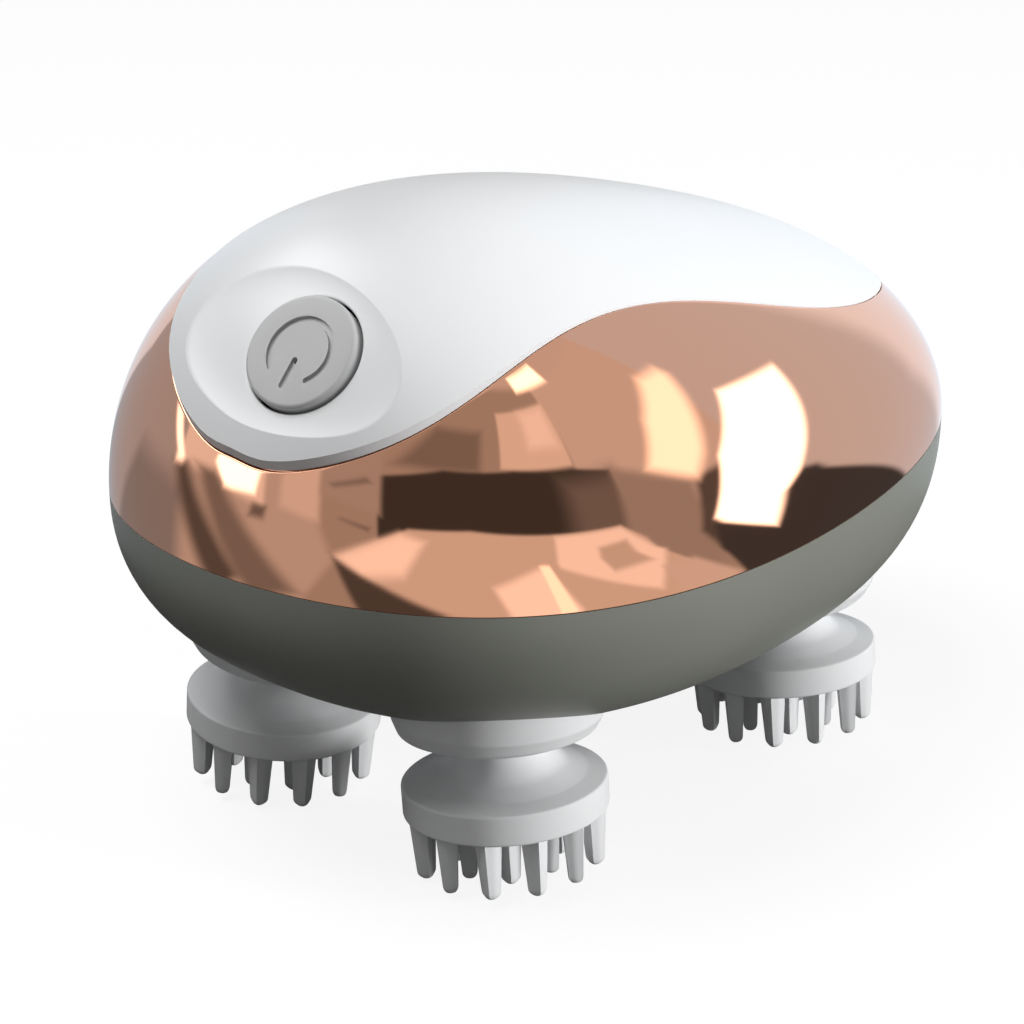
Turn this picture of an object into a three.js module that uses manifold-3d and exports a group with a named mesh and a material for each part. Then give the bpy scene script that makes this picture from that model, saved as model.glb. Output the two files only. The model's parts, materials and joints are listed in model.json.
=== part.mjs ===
// A handheld massage brush for pets, built as it comes apart on a bench.
// An egg shaped body holds a battery, a motor and a gear train, which turns four
// soft kneading heads under it. The button at the blunt end switches it on.
// Sizes are in millimetres, with +Z up and +X towards the pointed end.
// The origin is on the ground, under the middle of the body.
import * as THREE from "three";
import { mergeVertices } from "three/addons/utils/BufferGeometryUtils.js";
import Module from "manifold-3d";

const wasm = await Module();
wasm.setup();

// The egg, measured from the seam between its two halves.
// lean moves the bulk towards one end, swell makes both ends fuller.
const HALF_LENGTH = 62;
const PLAN = { size: 44.7, lean: -0.179, swell: 0.152, power: 2.005 };
const DOME = { size: 35.8, lean: -0.378, swell: 0.251, power: 1.967 };
const DOME_ROUNDNESS = 1.918;
const BOWL = { size: 27.5, lean: 0.105, swell: 0.046, power: 2.6 };
const BOWL_ROUNDNESS = 2.352;
const FLOOR_DEPTH = 22.6;
const FLOOR_BLEND = 1.6;
const OUTER_STATIONS = 20;
const OUTER_STEPS = 10;
const INNER_STATIONS = 12;
const INNER_STEPS = 8;
const SEAM_STATIONS = 12;
const WALL = 2.4;
const FIT = 0.3;
// How far a drill runs to go right through, and how far other cuts pass what they cut.
const THROUGH = 30;
const CLEAR = 3;
// Sides of the round pieces: wide, middling and small.
const WIDE = 14;
const MIDDLE = 8;
const SMALL = 8;
const TINY = 5;

// The top cover, laid on the dome. Its outline is an egg curve with a waist, in degrees:
// along the dome from the blunt end, and across it from the ridge.
const COVER_FRONT = 15.2;
const COVER_REAR = 156;
const COVER_OUTLINE = { size: 54.4, lean: -0.18, swell: 0.014, power: 2.73 };
const COVER_SHIFT = -6.1;
const WAIST_DEPTH = 0.358;
const WAIST_PLACE = 64.5;
const WAIST_LENGTH = 38.4;
// The cover lies flush at its waist and rises off the dome towards both ends.
const FRONT_RISE = { height: 1.1, length: 28.8 };
const REAR_RISE = { height: 0.6, length: 13.2 };
const COVER_SINK = 1.5;
const COVER_EDGE = 0.4;
const SEAT_CLEARANCE = 0.008;
const LEDGE_ALONG = 0.06;
const LEDGE_ACROSS = 0.13;
const WINDOW_GAP = 0.012;
const CLIP = { width: 5, thickness: 1.3, length: 1.6, barb: 0.9, inset: 0.7, clearance: 1.9 };
const CLIP_TURNS = [0.1, 0.256, 0.4, 0.6, 0.744, 0.9];

// The power button and the shallow dish around it.
const BUTTON_ALONG = 30.8;
const BUTTON_ACROSS = -12.9;
const BUTTON_RADIUS = 7.1;
const BUTTON_PROUD = 0.7;
const BUTTON_TRAVEL = 0.6;
const BUTTON_FLANGE = 0.9;
const STEM_RADIUS = 1.6;
const DISH_ALONG = 11.4;
const DISH_ACROSS = 33;
const DISH_ACROSS_SHIFT = -7;
const DISH_DEPTH = 1.25;
const DISH_STEEPNESS = 4;
const SLEEVE_WALL = 1.5;
const SLEEVE_LENGTH = 4.6;
const SLEEVE_TOP = 1.6;
const POST_TOP = 2.2;

// The kneading heads: a row of two in front of HEAD_MIDDLE and a row of two behind it.
const HEAD_MIDDLE = -5.1;
const HEAD_X = 28.4;
const HEAD_Y = 18.3;
const CANT = 5;
const PIVOT_DEPTH = 17.5;
const PAD_RADIUS = 12.8;
const PAD_TOP = 12.6;
const PAD_BOTTOM = 16.5;
const NECK_TOP = 3;
const NECK_RADIUS = 5;
const TINE_LENGTH = 7.6;
const TINE_RADIUS = 1.6;
const TINE_TIP_RADIUS = 1.15;
const TINE_INSET = 0.4;
const OUTER_TINES = 12;
const INNER_TINES = 7;
const INNER_RING = 6.4;
const INNER_TURN = 0.66;
const CORE_TOP = 2.2;
const CORE_RADIUS = 3.5;
const CORE_FLANGE_RADIUS = 9.4;
const CORE_FLANGE_THICKNESS = 1.5;
const PAD_SKIN = 1.5;
const SPINDLE_RADIUS = 2;
const SPINDLE_DEPTH = 22.8;
const BOOT_RADIUS = 13.4;
const BOOT_BOTTOM = 23;
const BOOT_WALL = 2.3;
const BOOT_MOUTH = 6.4;
const BOOT_LEAN = 0.15;
const LEAN_START = 6;
const LEAN_LENGTH = 4.4;
const TURRET_WALL = 1.8;

// The gearbox, as heights over the seam.
const BASE_BOTTOM = -13.7;
const BASE_THICKNESS = 2.4;
const GEAR_BOTTOM = -10.4;
const GEAR_FACE = 4.2;
const DECK_BOTTOM = -5.7;
const DECK_THICKNESS = 2.2;
const CENTRE_TEETH = 18;
const HEAD_TEETH = 16;
const WHEEL_TEETH = 20;
const WHEEL_FACE = 6.4;
const WORM_RADIUS = 5;
const WORM_HEIGHT = 6.4;
const WORM_LENGTH = 15;
const BACKLASH = 0.42;
const HUB_RADIUS = 4.6;
const BUSH_RADIUS = 3.5;
const BUSH_FLANGE = 4.9;
const BUSH_FLANGE_HEIGHT = 0.6;
const BOSS_RADIUS = 6.4;
const BOSS_LENGTH = 4.6;
const AXLE_RADIUS = 1.5;
const AXLE_BOSS = 4;
const AXLE_LOW = -15.4;
const AXLE_HIGH = 11;
const WORM_STEPS = 10;
const BEARING_PLACE = 11;
const BEARING_RADIUS = 2.4;
const BRACKET = { thickness: 3, width: 10 };
const SADDLE_START = 8;

// The motor, its clamp and what feeds it.
const MOTOR_RADIUS = 10;
const MOTOR_HALF_HEIGHT = 7.5;
const MOTOR_LENGTH = 22;
const MOTOR_CAP_LENGTH = 3.2;
const MOTOR_NOSE_RADIUS = 3;
const MOTOR_NOSE_LENGTH = 1.5;
const MOTOR_PLACE = 13;
const SHAFT_RADIUS = 1;
const CLAMP_WIDTH = 7;
const CLAMP_THICKNESS = 1;
const CLAMP_FOOT = 4;
const BATTERY = { length: 44, width: 30, height: 8, x: -10 };
const TRAY_WALL = 1.2;
const TRAY_LEG = 1.5;
const TRAY_GAP = 0.6;
const BOARD = { length: 18, width: 25, thickness: 1.4, depth: 10.4 };
const BOARD_POST = 1.8;
const BOARD_POST_X = 10.6;
const SMALL_SCREW = { radius: 0.8, head: 1.6, headHeight: 1 };
const SWITCH = { size: 6, height: 2.6 };
const PORT_RADIUS = 5.2;
const PORT_DEPTH = 7;
const PORT_DROP = 7.5;
const CONTACT_RADIUS = 1;
const CONTACT_SPACING = 4.6;

// Screws, posts and the seal in the seam.
const SCREW = { radius: 1.1, head: 2.3, headHeight: 1.5, hole: 1.5 };
const POST_RADIUS = 3.4;
const MID_POST_SPACING = 31;
const SCREW_SEAT = -19.3;
const BASE_SCREW_LENGTH = 8.5;
const DECK_SCREW_LENGTH = 5.5;
const SHELL_POST_TURNS = [0.2, 0.311, 0.689, 0.8];
const SHELL_POST_NAMES = ["front_right", "rear_right", "rear_left", "front_left"];
const SHELL_SCREW_LENGTH = 9;
const SCREW_SINK = 3.2;
const LUG_LENGTH = 4;
const PLATE_GAP = 0.6;
const SEAL_INSET = 1.4;
const SEAL_DEPTH = 1.1;

const colour = {
  copper: [0xc98f78, 0.08, 1],
  bowl: [0x5c5e58, 0.42, 0.1],
  cover: [0xf2f2f2, 0.3, 0],
  button: [0xaeaeae, 0.4, 0],
  silicone: [0xd4d5d5, 0.55, 0],
  nylon: [0xe9e4d6, 0.5, 0],
  frame: [0x3b3d40, 0.55, 0],
  steel: [0xb9bcc0, 0.3, 1],
  bronze: [0xb08d57, 0.4, 1],
  board: [0x1f6b43, 0.6, 0],
  cell: [0x3f6fa8, 0.45, 0],
  black: [0x202124, 0.6, 0],
  gold: [0xd9b25a, 0.25, 1],
};

// Joining and cutting.
// solid turns a closed three.js geometry into something that can be cut.
function solid(geometry, matrix) {
  const g = geometry.clone();
  g.deleteAttribute("normal");
  g.deleteAttribute("uv");
  if (matrix) g.applyMatrix4(matrix);
  const merged = mergeVertices(g, 1e-4);
  const mesh = new wasm.Mesh({
    numProp: 3,
    vertProperties: merged.attributes.position.array,
    triVerts: new Uint32Array(merged.index.array),
  });
  return new wasm.Manifold(mesh);
}

function join(...pieces) {
  return pieces.reduce((whole, piece) => whole.add(piece));
}

function cut(whole, ...pieces) {
  return pieces.reduce((left, piece) => left.subtract(piece), whole);
}

// geometryOf turns a cut solid back into a three.js geometry with flat faces.
function geometryOf(shape) {
  const mesh = shape.getMesh();
  const g = new THREE.BufferGeometry();
  const points = Float32Array.from(mesh.vertProperties);
  g.setAttribute("position", new THREE.BufferAttribute(points, 3));
  g.setIndex(new THREE.BufferAttribute(Uint32Array.from(mesh.triVerts), 1));
  return g;
}

const body = new THREE.Group();

function add(name, shape, paint, parent = body) {
  const [hex, roughness, metalness] = colour[paint];
  const material = new THREE.MeshStandardMaterial({ color: hex, roughness, metalness });
  const mesh = new THREE.Mesh(geometryOf(shape), material);
  mesh.name = name;
  parent.add(mesh);
  return mesh;
}

function move(x, y, z) {
  return new THREE.Matrix4().makeTranslation(x, y, z);
}

// Plain forms, standing on +Z. low and high are heights.
function drum(radius, low, high, sides = MIDDLE, x = 0, y = 0) {
  const g = new THREE.CylinderGeometry(radius, radius, high - low, sides);
  g.rotateX(Math.PI / 2);
  g.translate(x, y, (low + high) / 2);
  return solid(g);
}

function block(x0, x1, y0, y1, z0, z1) {
  const g = new THREE.BoxGeometry(x1 - x0, y1 - y0, z1 - z0);
  g.translate((x0 + x1) / 2, (y0 + y1) / 2, (z0 + z1) / 2);
  return solid(g);
}

// A revolved piece. Each point is a radius and a height, from the lower end of the axis
// to its upper end.
function turned(points, sides) {
  const profile = points.map(([r, z]) => new THREE.Vector2(r, z));
  const g = new THREE.LatheGeometry(profile, sides);
  g.rotateX(Math.PI / 2);
  return solid(g);
}

function extruded(shape, low, high) {
  const g = new THREE.ExtrudeGeometry(shape, { depth: high - low, bevelEnabled: false, curveSegments: 3 });
  g.translate(0, 0, low);
  return solid(g);
}

// The egg's formulas. u runs from -1 at the blunt end to 1 at the pointed end.
function eggCurve(u, { size, lean, swell, power }) {
  const round = Math.max(0, 1 - Math.abs(u) ** power) ** (1 / power);
  return size * round * (1 + lean * u + swell * u * u);
}

function softMin(a, b, blend) {
  const h = THREE.MathUtils.clamp(0.5 + (b - a) / (2 * blend), 0, 1);
  return b + (a - b) * h - blend * h * (1 - h);
}

// A point of the egg at u, at an angle across it: 0 on the ridge, 90 degrees at the seam.
// inset shrinks the whole egg, which gives the inside of a wall.
function eggPoint(u, across, half, inset = 0) {
  const spec = half > 0 ? DOME : BOWL;
  const power = half > 0 ? DOME_ROUNDNESS : BOWL_ROUNDNESS;
  const width = eggCurve(u, { ...PLAN, size: PLAN.size - inset });
  const height = eggCurve(u, { ...spec, size: spec.size - inset });
  const s = Math.sin(across);
  const y = width * Math.sign(s) * Math.abs(s) ** (2 / power);
  let z = height * Math.max(0, Math.cos(across)) ** (2 / power);
  if (half < 0) z = softMin(z, FLOOR_DEPTH - inset, FLOOR_BLEND);
  return new THREE.Vector3(u * (HALF_LENGTH - inset), y, half * z);
}

// One half of the egg as a closed solid, flat at the seam.
function eggHalf(half, inset, stations, steps) {
  const points = [];
  const faces = [];
  for (let i = 0; i <= stations; i++) {
    const u = -Math.cos((Math.PI * i) / stations);
    for (let j = 0; j <= steps; j++) {
      const across = Math.PI * (j / steps - 0.5);
      const p = eggPoint(u, across, half, inset);
      if (j === 0 || j === steps) p.z = 0;
      points.push(p.x, p.y, p.z);
    }
  }
  const row = steps + 1;
  for (let i = 0; i < stations; i++) {
    const a = i * row;
    const b = a + row;
    for (let j = 0; j < steps; j++) {
      faces.push([a + j, b + j, b + j + 1], [a + j, b + j + 1, a + j + 1]);
    }
    faces.push([a, a + steps, b + steps], [a, b + steps, b]);
  }
  return closedSolid(points, faces, half < 0);
}

// Builds a solid from points and faces, without the faces that have shrunk to nothing.
function closedSolid(points, faces, flip) {
  const g = new THREE.BufferGeometry();
  g.setAttribute("position", new THREE.Float32BufferAttribute(points, 3));
  g.setIndex(faces.flatMap(([a, b, c]) => (flip ? [a, c, b] : [a, b, c])));
  const merged = mergeVertices(g, 1e-4);
  const index = merged.index.array;
  const kept = [];
  for (let i = 0; i < index.length; i += 3) {
    const [a, b, c] = index.slice(i, i + 3);
    if (a !== b && b !== c && a !== c) kept.push(a, b, c);
  }
  merged.setIndex(kept);
  const mesh = new wasm.Mesh({
    numProp: 3,
    vertProperties: merged.attributes.position.array,
    triVerts: new Uint32Array(kept),
  });
  return new wasm.Manifold(mesh);
}

// The dome as a surface for what lies on it: along and across are in degrees.
function domePoint(along, across, lift = 0) {
  const at = (a, b) => eggPoint(-Math.cos(a), b, 1);
  const a = THREE.MathUtils.degToRad(along);
  const b = THREE.MathUtils.degToRad(across);
  const step = 0.002;
  const p = at(a, b);
  const alongDome = at(a + step, b).sub(at(a - step, b));
  const acrossDome = at(a, b + step).sub(at(a, b - step));
  const normal = alongDome.cross(acrossDome).normalize();
  return { point: p.clone().addScaledVector(normal, lift), normal };
}

// The cover's outline in degrees, at a turn from 0 to 1 round it.
// growAlong and growAcross move it out, as shares of its own size.
function coverOutline(turn, growAlong = 0, growAcross = 0) {
  const angle = 2 * Math.PI * turn;
  const middle = (COVER_FRONT + COVER_REAR) / 2;
  const reach = (COVER_REAR - COVER_FRONT) / 2;
  const u = -Math.cos(angle);
  const side = Math.sin(angle) < 0 ? -1 : 1;
  const along = middle + reach * u;
  const waist = 1 - WAIST_DEPTH * Math.exp(-(((along - WAIST_PLACE) / WAIST_LENGTH) ** 2));
  const half = eggCurve(u, COVER_OUTLINE) * waist;
  const shift = (COVER_SHIFT * (COVER_REAR - along)) / (COVER_REAR - COVER_FRONT);
  return [middle + (along - middle) * (1 + growAlong), shift + side * half * (1 + growAcross)];
}

// How far the cover stands off the dome.
function coverLift(along) {
  const front = FRONT_RISE.height * Math.exp(-(((along - COVER_FRONT) / FRONT_RISE.length) ** 2));
  return front + REAR_RISE.height * Math.exp(-(((COVER_REAR - along) / REAR_RISE.length) ** 2));
}

// The direction straight out of the cover.
function coverNormal(along, across) {
  const at = (a, b) => domePoint(a, b, coverLift(a)).point;
  const alongCover = at(along + 0.2, across).sub(at(along - 0.2, across));
  return alongCover.cross(at(along, across + 0.2).sub(at(along, across - 0.2))).normalize();
}

// A patch of skin over the dome, inside an outline that shrinks ring by ring to its middle.
// Each of its two faces has its rings, from 0 to 1, and how far it stands off the dome there.
function skin(outline, middle, around, top, under) {
  const points = [];
  const faces = [];
  const starts = [];
  for (const { rings, lift } of [top, under]) {
    starts.push(points.length / 3);
    for (const ring of rings) {
      for (let i = 0; i < around; i++) {
        const [a, b] = outline(i / around);
        const along = middle[0] + (a - middle[0]) * ring;
        const across = middle[1] + (b - middle[1]) * ring;
        points.push(...domePoint(along, across, lift(ring, along)).point.toArray());
      }
    }
  }
  const corner = (face, ring, i) => starts[face] + ring * around + (i % around);
  [top, under].forEach(({ rings }, face) => {
    for (let r = 0; r + 1 < rings.length; r++) {
      for (let i = 0; i < around; i++) {
        const [a, b] = [corner(face, r, i), corner(face, r, i + 1)];
        const [c, d] = [corner(face, r + 1, i + 1), corner(face, r + 1, i)];
        faces.push(face ? [a, c, b] : [a, b, c], face ? [a, d, c] : [a, c, d]);
      }
    }
  });
  const [lastTop, lastUnder] = [top.rings.length - 1, under.rings.length - 1];
  for (let i = 0; i < around; i++) {
    const [a, b] = [corner(0, lastTop, i), corner(0, lastTop, i + 1)];
    const [c, d] = [corner(1, lastUnder, i), corner(1, lastUnder, i + 1)];
    faces.push([a, d, c], [a, b, d]);
  }
  return closedSolid(points, faces, false);
}

function placed(shape, matrix) {
  return solid(geometryOf(shape).applyMatrix4(matrix));
}

function screw(size, length) {
  const shank = drum(size.radius, -length, 0.1, TINY);
  return join(shank, drum(size.head, 0, size.headHeight, SMALL));
}

// A gear's teeth as a closed outline. The flanks are straight between root and tip.
function gearShape(teeth, pitchRadius, phase) {
  const size = (2 * pitchRadius) / teeth;
  const root = pitchRadius - 1.2 * size;
  const tip = pitchRadius + 0.92 * size;
  const thick = (Math.PI * size) / 4 - BACKLASH / 2;
  const slope = Math.tan(THREE.MathUtils.degToRad(20));
  const atRoot = (thick + 1.2 * size * slope) / root;
  const atTip = (thick - 0.92 * size * slope) / tip;
  const outline = [];
  for (let i = 0; i < teeth; i++) {
    const middle = phase + (2 * Math.PI * i) / teeth;
    for (const [radius, turn] of [[root, -atRoot], [tip, -atTip], [tip, atTip], [root, atRoot]]) {
      const angle = middle + turn;
      outline.push(new THREE.Vector2(radius * Math.cos(angle), radius * Math.sin(angle)));
    }
  }
  return new THREE.Shape(outline);
}

// An extruded gear whose teeth lean by twist, in radians for each millimetre of height.
function gear(shape, low, high, twist = 0, middle = 0) {
  const g = new THREE.ExtrudeGeometry(shape, { depth: high - low, bevelEnabled: false });
  g.translate(0, 0, low);
  const p = g.attributes.position;
  for (let i = 0; i < p.count; i++) {
    const turn = twist * (p.getZ(i) - middle);
    const [x, y] = [p.getX(i), p.getY(i)];
    p.setX(i, x * Math.cos(turn) - y * Math.sin(turn));
    p.setY(i, x * Math.sin(turn) + y * Math.cos(turn));
  }
  return solid(g);
}

// Places that several pieces share.
const gearTop = GEAR_BOTTOM + GEAR_FACE;
const baseTop = BASE_BOTTOM + BASE_THICKNESS;
const deckTop = DECK_BOTTOM + DECK_THICKNESS;
const centreRadius = (HEAD_X * CENTRE_TEETH) / (CENTRE_TEETH + HEAD_TEETH);
const headGearRadius = HEAD_X - centreRadius;
const wheelRadius = HEAD_Y - WORM_RADIUS;
const lead = (2 * Math.PI * wheelRadius) / WHEEL_TEETH;
const turretTop = BASE_BOTTOM - FIT;
const bearingX = HEAD_MIDDLE - BEARING_PLACE;
const motorFront = HEAD_MIDDLE + MOTOR_PLACE;
const motorRear = motorFront + MOTOR_LENGTH;
const clampScrewX = motorFront + MOTOR_LENGTH / 2;
const clampScrewY = MOTOR_RADIUS + FIT + CLAMP_THICKNESS + CLAMP_FOOT / 2;
const trayLow = WORM_HEIGHT + MOTOR_HALF_HEIGHT + FIT + CLAMP_THICKNESS + TRAY_GAP;
const midPosts = [-1, 1].map((side) => HEAD_MIDDLE + (side * MID_POST_SPACING) / 2);
const heads = [];
for (const [row, rowName] of [[-1, "front"], [1, "rear"]]) {
  for (const [side, sideName] of [[-1, "left"], [1, "right"]]) {
    const at = { x: HEAD_MIDDLE + row * HEAD_X, y: side * HEAD_Y };
    heads.push({ name: rowName + "_" + sideName, row, side, ...at });
  }
}

// The button's own frame: +Z out of the dome, +Y up the slope.
const dishMiddle = [BUTTON_ALONG, DISH_ACROSS_SHIFT];
const buttonTop = coverLift(BUTTON_ALONG) - DISH_DEPTH + BUTTON_PROUD;
const buttonOut = coverNormal(BUTTON_ALONG, BUTTON_ACROSS);
const sideways = new THREE.Vector3(0, 0, 1).cross(buttonOut).normalize();
const buttonFrame = new THREE.Matrix4().makeBasis(sideways, buttonOut.clone().cross(sideways), buttonOut);
buttonFrame.setPosition(domePoint(BUTTON_ALONG, BUTTON_ACROSS, buttonTop).point);
const inButtonFrame = (shape) => placed(shape, buttonFrame);

// The cover over the dome, with its dish, the button's hole and guide, and its clips.
const coverMiddle = [(COVER_FRONT + COVER_REAR) / 2, COVER_SHIFT / 2];
const COVER_POINTS = 30;
const TOP_RINGS = [0, 0.34, 0.66, 0.985, 1];
const UNDER_RINGS = [0, 0.36, 0.7, 1];
const WINDOW_RINGS = [0, 0.5, 1];
const undersideLift = FIT - COVER_SINK;

// A patch of the cover's outline between two heights over the dome.
function coverPatch(outline, low, high, rings = UNDER_RINGS) {
  const face = (height) => ({ rings, lift: () => height });
  return skin(outline, coverMiddle, COVER_POINTS, face(high), face(low));
}

function makeCover() {
  const topLift = (ring, along) => coverLift(along) - (ring > 0.99 ? COVER_EDGE : 0);
  const top = { rings: TOP_RINGS, lift: topLift };
  const under = { rings: UNDER_RINGS, lift: () => undersideLift };
  const plate = skin((turn) => coverOutline(turn), coverMiddle, COVER_POINTS, top, under);
  const dishOutline = (turn) => [
    dishMiddle[0] - DISH_ALONG * Math.cos(2 * Math.PI * turn),
    dishMiddle[1] + DISH_ACROSS * Math.sin(2 * Math.PI * turn),
  ];
  const dishLift = (ring, along) => coverLift(along) - DISH_DEPTH * (1 - ring ** DISH_STEEPNESS);
  const dishBottom = { rings: [0, 0.5, 0.8, 1], lift: dishLift };
  const dish = skin(dishOutline, dishMiddle, 20, { rings: [0, 1], lift: () => CLEAR }, dishBottom);
  const sleeveRadius = BUTTON_RADIUS + FIT + SLEEVE_WALL;
  const sleeve = drum(sleeveRadius, -SLEEVE_LENGTH, -SLEEVE_TOP, WIDE);
  const posts = [-1, 1].map((side) =>
    drum(BOARD_POST, FIT - BOARD.depth, -POST_TOP, SMALL, side * BOARD_POST_X, 0),
  );
  const windowOutline = (turn) => coverOutline(turn, -LEDGE_ALONG - WINDOW_GAP, -LEDGE_ACROSS - WINDOW_GAP);
  const inWindow = coverPatch(windowOutline, -BOARD.depth - CLEAR, 0);
  const inner = inButtonFrame(join(sleeve, ...posts)).intersect(inWindow);
  const clips = CLIP_TURNS.map(makeClip);
  const hole = drum(BUTTON_RADIUS + FIT, -SLEEVE_LENGTH - 1, 6, WIDE);
  const screwHoles = [-1, 1].map((side) =>
    drum(SMALL_SCREW.radius + FIT / 2, -BOARD.depth - 1, -5, 6, side * BOARD_POST_X, 0),
  );
  return cut(join(cut(plate, dish), inner, ...clips), inButtonFrame(join(hole, ...screwHoles)));
}

// A clip is a tab through the dome's window, with a barb under the window's edge.
function makeClip(turn) {
  const edgeAt = (at) => domePoint(...coverOutline(at, -LEDGE_ALONG, -LEDGE_ACROSS));
  const edge = edgeAt(turn);
  const alongEdge = edgeAt(turn + 0.01).point.sub(edgeAt(turn - 0.01).point).normalize();
  const outward = edge.normal.clone().cross(alongEdge).normalize();
  alongEdge.crossVectors(edge.normal, outward);
  const frame = new THREE.Matrix4().makeBasis(outward, alongEdge, edge.normal).setPosition(edge.point);
  const under = -WALL - CLIP.clearance;
  const half = CLIP.width / 2;
  const back = -CLIP.inset - CLIP.thickness;
  const tab = block(back, -CLIP.inset, -half, half, under - CLIP.length, undersideLift + 0.4);
  const barb = block(back, CLIP.barb, -half, half, under - CLIP.length + 0.4, under);
  return placed(join(tab, barb), frame);
}

// The posts under the cover's ledge, where screws hold the dome to the deck.
const shellPosts = SHELL_POST_TURNS.map((turn) => {
  const [along, across] = coverOutline(turn, -LEDGE_ALONG / 2, -LEDGE_ACROSS * 0.8);
  const { point } = domePoint(along, across, -COVER_SINK);
  return { x: point.x, y: point.y, seat: point.z - SCREW_SINK };
});

// The egg's inside, less what stands inside it.
function hollow(half, ...inside) {
  return cut(eggHalf(half, WALL, INNER_STATIONS, INNER_STEPS), ...inside);
}

function makeDome() {
  const seatOutline = (turn) => coverOutline(turn, SEAT_CLEARANCE, SEAT_CLEARANCE);
  const seat = coverPatch(seatOutline, -COVER_SINK, CLEAR);
  const windowOutline = (turn) => coverOutline(turn, -LEDGE_ALONG, -LEDGE_ACROSS);
  const lugs = shellPosts.map(({ x, y, seat: z }) => drum(POST_RADIUS, z - LUG_LENGTH, z + 8, MIDDLE, x, y));
  const window = cut(coverPatch(windowOutline, -WALL - CLEAR, CLEAR, WINDOW_RINGS), ...lugs);
  const holes = shellPosts.flatMap(({ x, y, seat: z }) => [
    drum(SCREW.hole, z - LUG_LENGTH - 1, z + 1, 6, x, y),
    drum(SCREW.head + FIT, z, z + 9, SMALL, x, y),
  ]);
  const outer = eggHalf(1, 0, OUTER_STATIONS, OUTER_STEPS);
  return cut(outer, hollow(1, ...lugs), seat, window, ...holes);
}

function makeBowl() {
  const rebate = extruded(planShape(SEAL_INSET), -SEAL_DEPTH, 1);
  const turret = BOOT_RADIUS + FIT + TURRET_WALL;
  const towers = heads.map(({ x, y }) => drum(turret, -THROUGH, turretTop, WIDE, x, y));
  const posts = midPosts.map((x) => drum(POST_RADIUS, -THROUGH, turretTop, MIDDLE, x, 0));
  const openings = heads.map(({ x, y }) => drum(BOOT_RADIUS + FIT, -THROUGH, 0, WIDE, x, y));
  const screwWays = midPosts.flatMap((x) => [
    drum(SCREW.hole, -THROUGH, 0, 6, x, 0),
    drum(SCREW.head + FIT, -THROUGH, SCREW_SEAT, SMALL, x, 0),
  ]);
  const outer = eggHalf(-1, 0, OUTER_STATIONS, OUTER_STEPS);
  const port = portDrum(PORT_RADIUS + FIT, THROUGH);
  return cut(outer, hollow(-1, ...towers, ...posts), rebate, ...openings, ...screwWays, port);
}

// The egg seen from above at the seam, shrunk by inset.
function planShape(inset) {
  const spec = { ...PLAN, size: PLAN.size - inset };
  const outline = [];
  for (let i = 0; i < 2 * SEAM_STATIONS; i++) {
    const angle = (Math.PI * i) / SEAM_STATIONS;
    const u = -Math.cos(angle);
    const y = eggCurve(u, spec) * (angle < Math.PI ? -1 : 1);
    outline.push(new THREE.Vector2(u * (HALF_LENGTH - inset), y));
  }
  return new THREE.Shape(outline);
}

// The soft ring in the rebate round the bowl's rim, which the dome presses down.
function makeSeal() {
  const ring = extruded(planShape(SEAL_INSET + FIT), FIT / 3 - SEAL_DEPTH, 0);
  return cut(ring, extruded(planShape(WALL), -SEAL_DEPTH - 1, 1));
}

// A drum along X at the charging port, from the pointed end inwards.
function portDrum(radius, length, y = 0, sides = MIDDLE) {
  const turn = new THREE.Matrix4().makeRotationY(Math.PI / 2);
  turn.setPosition(HALF_LENGTH + 1 - length, y, -PORT_DROP);
  return placed(drum(radius, 0, length, sides), turn);
}

// What fits inside the bowl's wall, used to trim the gearbox plates, and the port's room.
const bowlRoom = eggHalf(-1, WALL + PLATE_GAP, INNER_STATIONS, INNER_STEPS);
const portRoom = portDrum(PORT_RADIUS + PLATE_GAP, PORT_DEPTH + 5);

function slabAt(low, high) {
  return block(-HALF_LENGTH, HALF_LENGTH, -HALF_LENGTH, HALF_LENGTH, low, high);
}

function makeGearboxBase() {
  const plate = slabAt(BASE_BOTTOM, baseTop).intersect(bowlRoom);
  const bossLow = BASE_BOTTOM - BOSS_LENGTH;
  const bosses = heads.map(({ x, y }) => drum(BOSS_RADIUS, bossLow, baseTop, MIDDLE, x, y));
  const postTop = DECK_BOTTOM - FIT;
  const posts = midPosts.map((x) => drum(POST_RADIUS, BASE_BOTTOM, postTop, SMALL, x, 0));
  const axleBosses = [-1, 1].map((side) =>
    drum(AXLE_BOSS, BASE_BOTTOM - 2, baseTop, SMALL, HEAD_MIDDLE, side * HEAD_Y),
  );
  const bores = heads.map(({ x, y }) => drum(BUSH_RADIUS + FIT, -THROUGH, 0, MIDDLE, x, y));
  const axleBores = [-1, 1].map((side) =>
    drum(AXLE_RADIUS + FIT, -THROUGH, 0, SMALL, HEAD_MIDDLE, side * HEAD_Y),
  );
  const screwWays = midPosts.map((x) => drum(SCREW.hole, -THROUGH, 0, 6, x, 0));
  const whole = join(plate, ...bosses, ...posts, ...axleBosses);
  return cut(whole, ...bores, ...axleBores, ...screwWays, portRoom);
}

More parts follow.
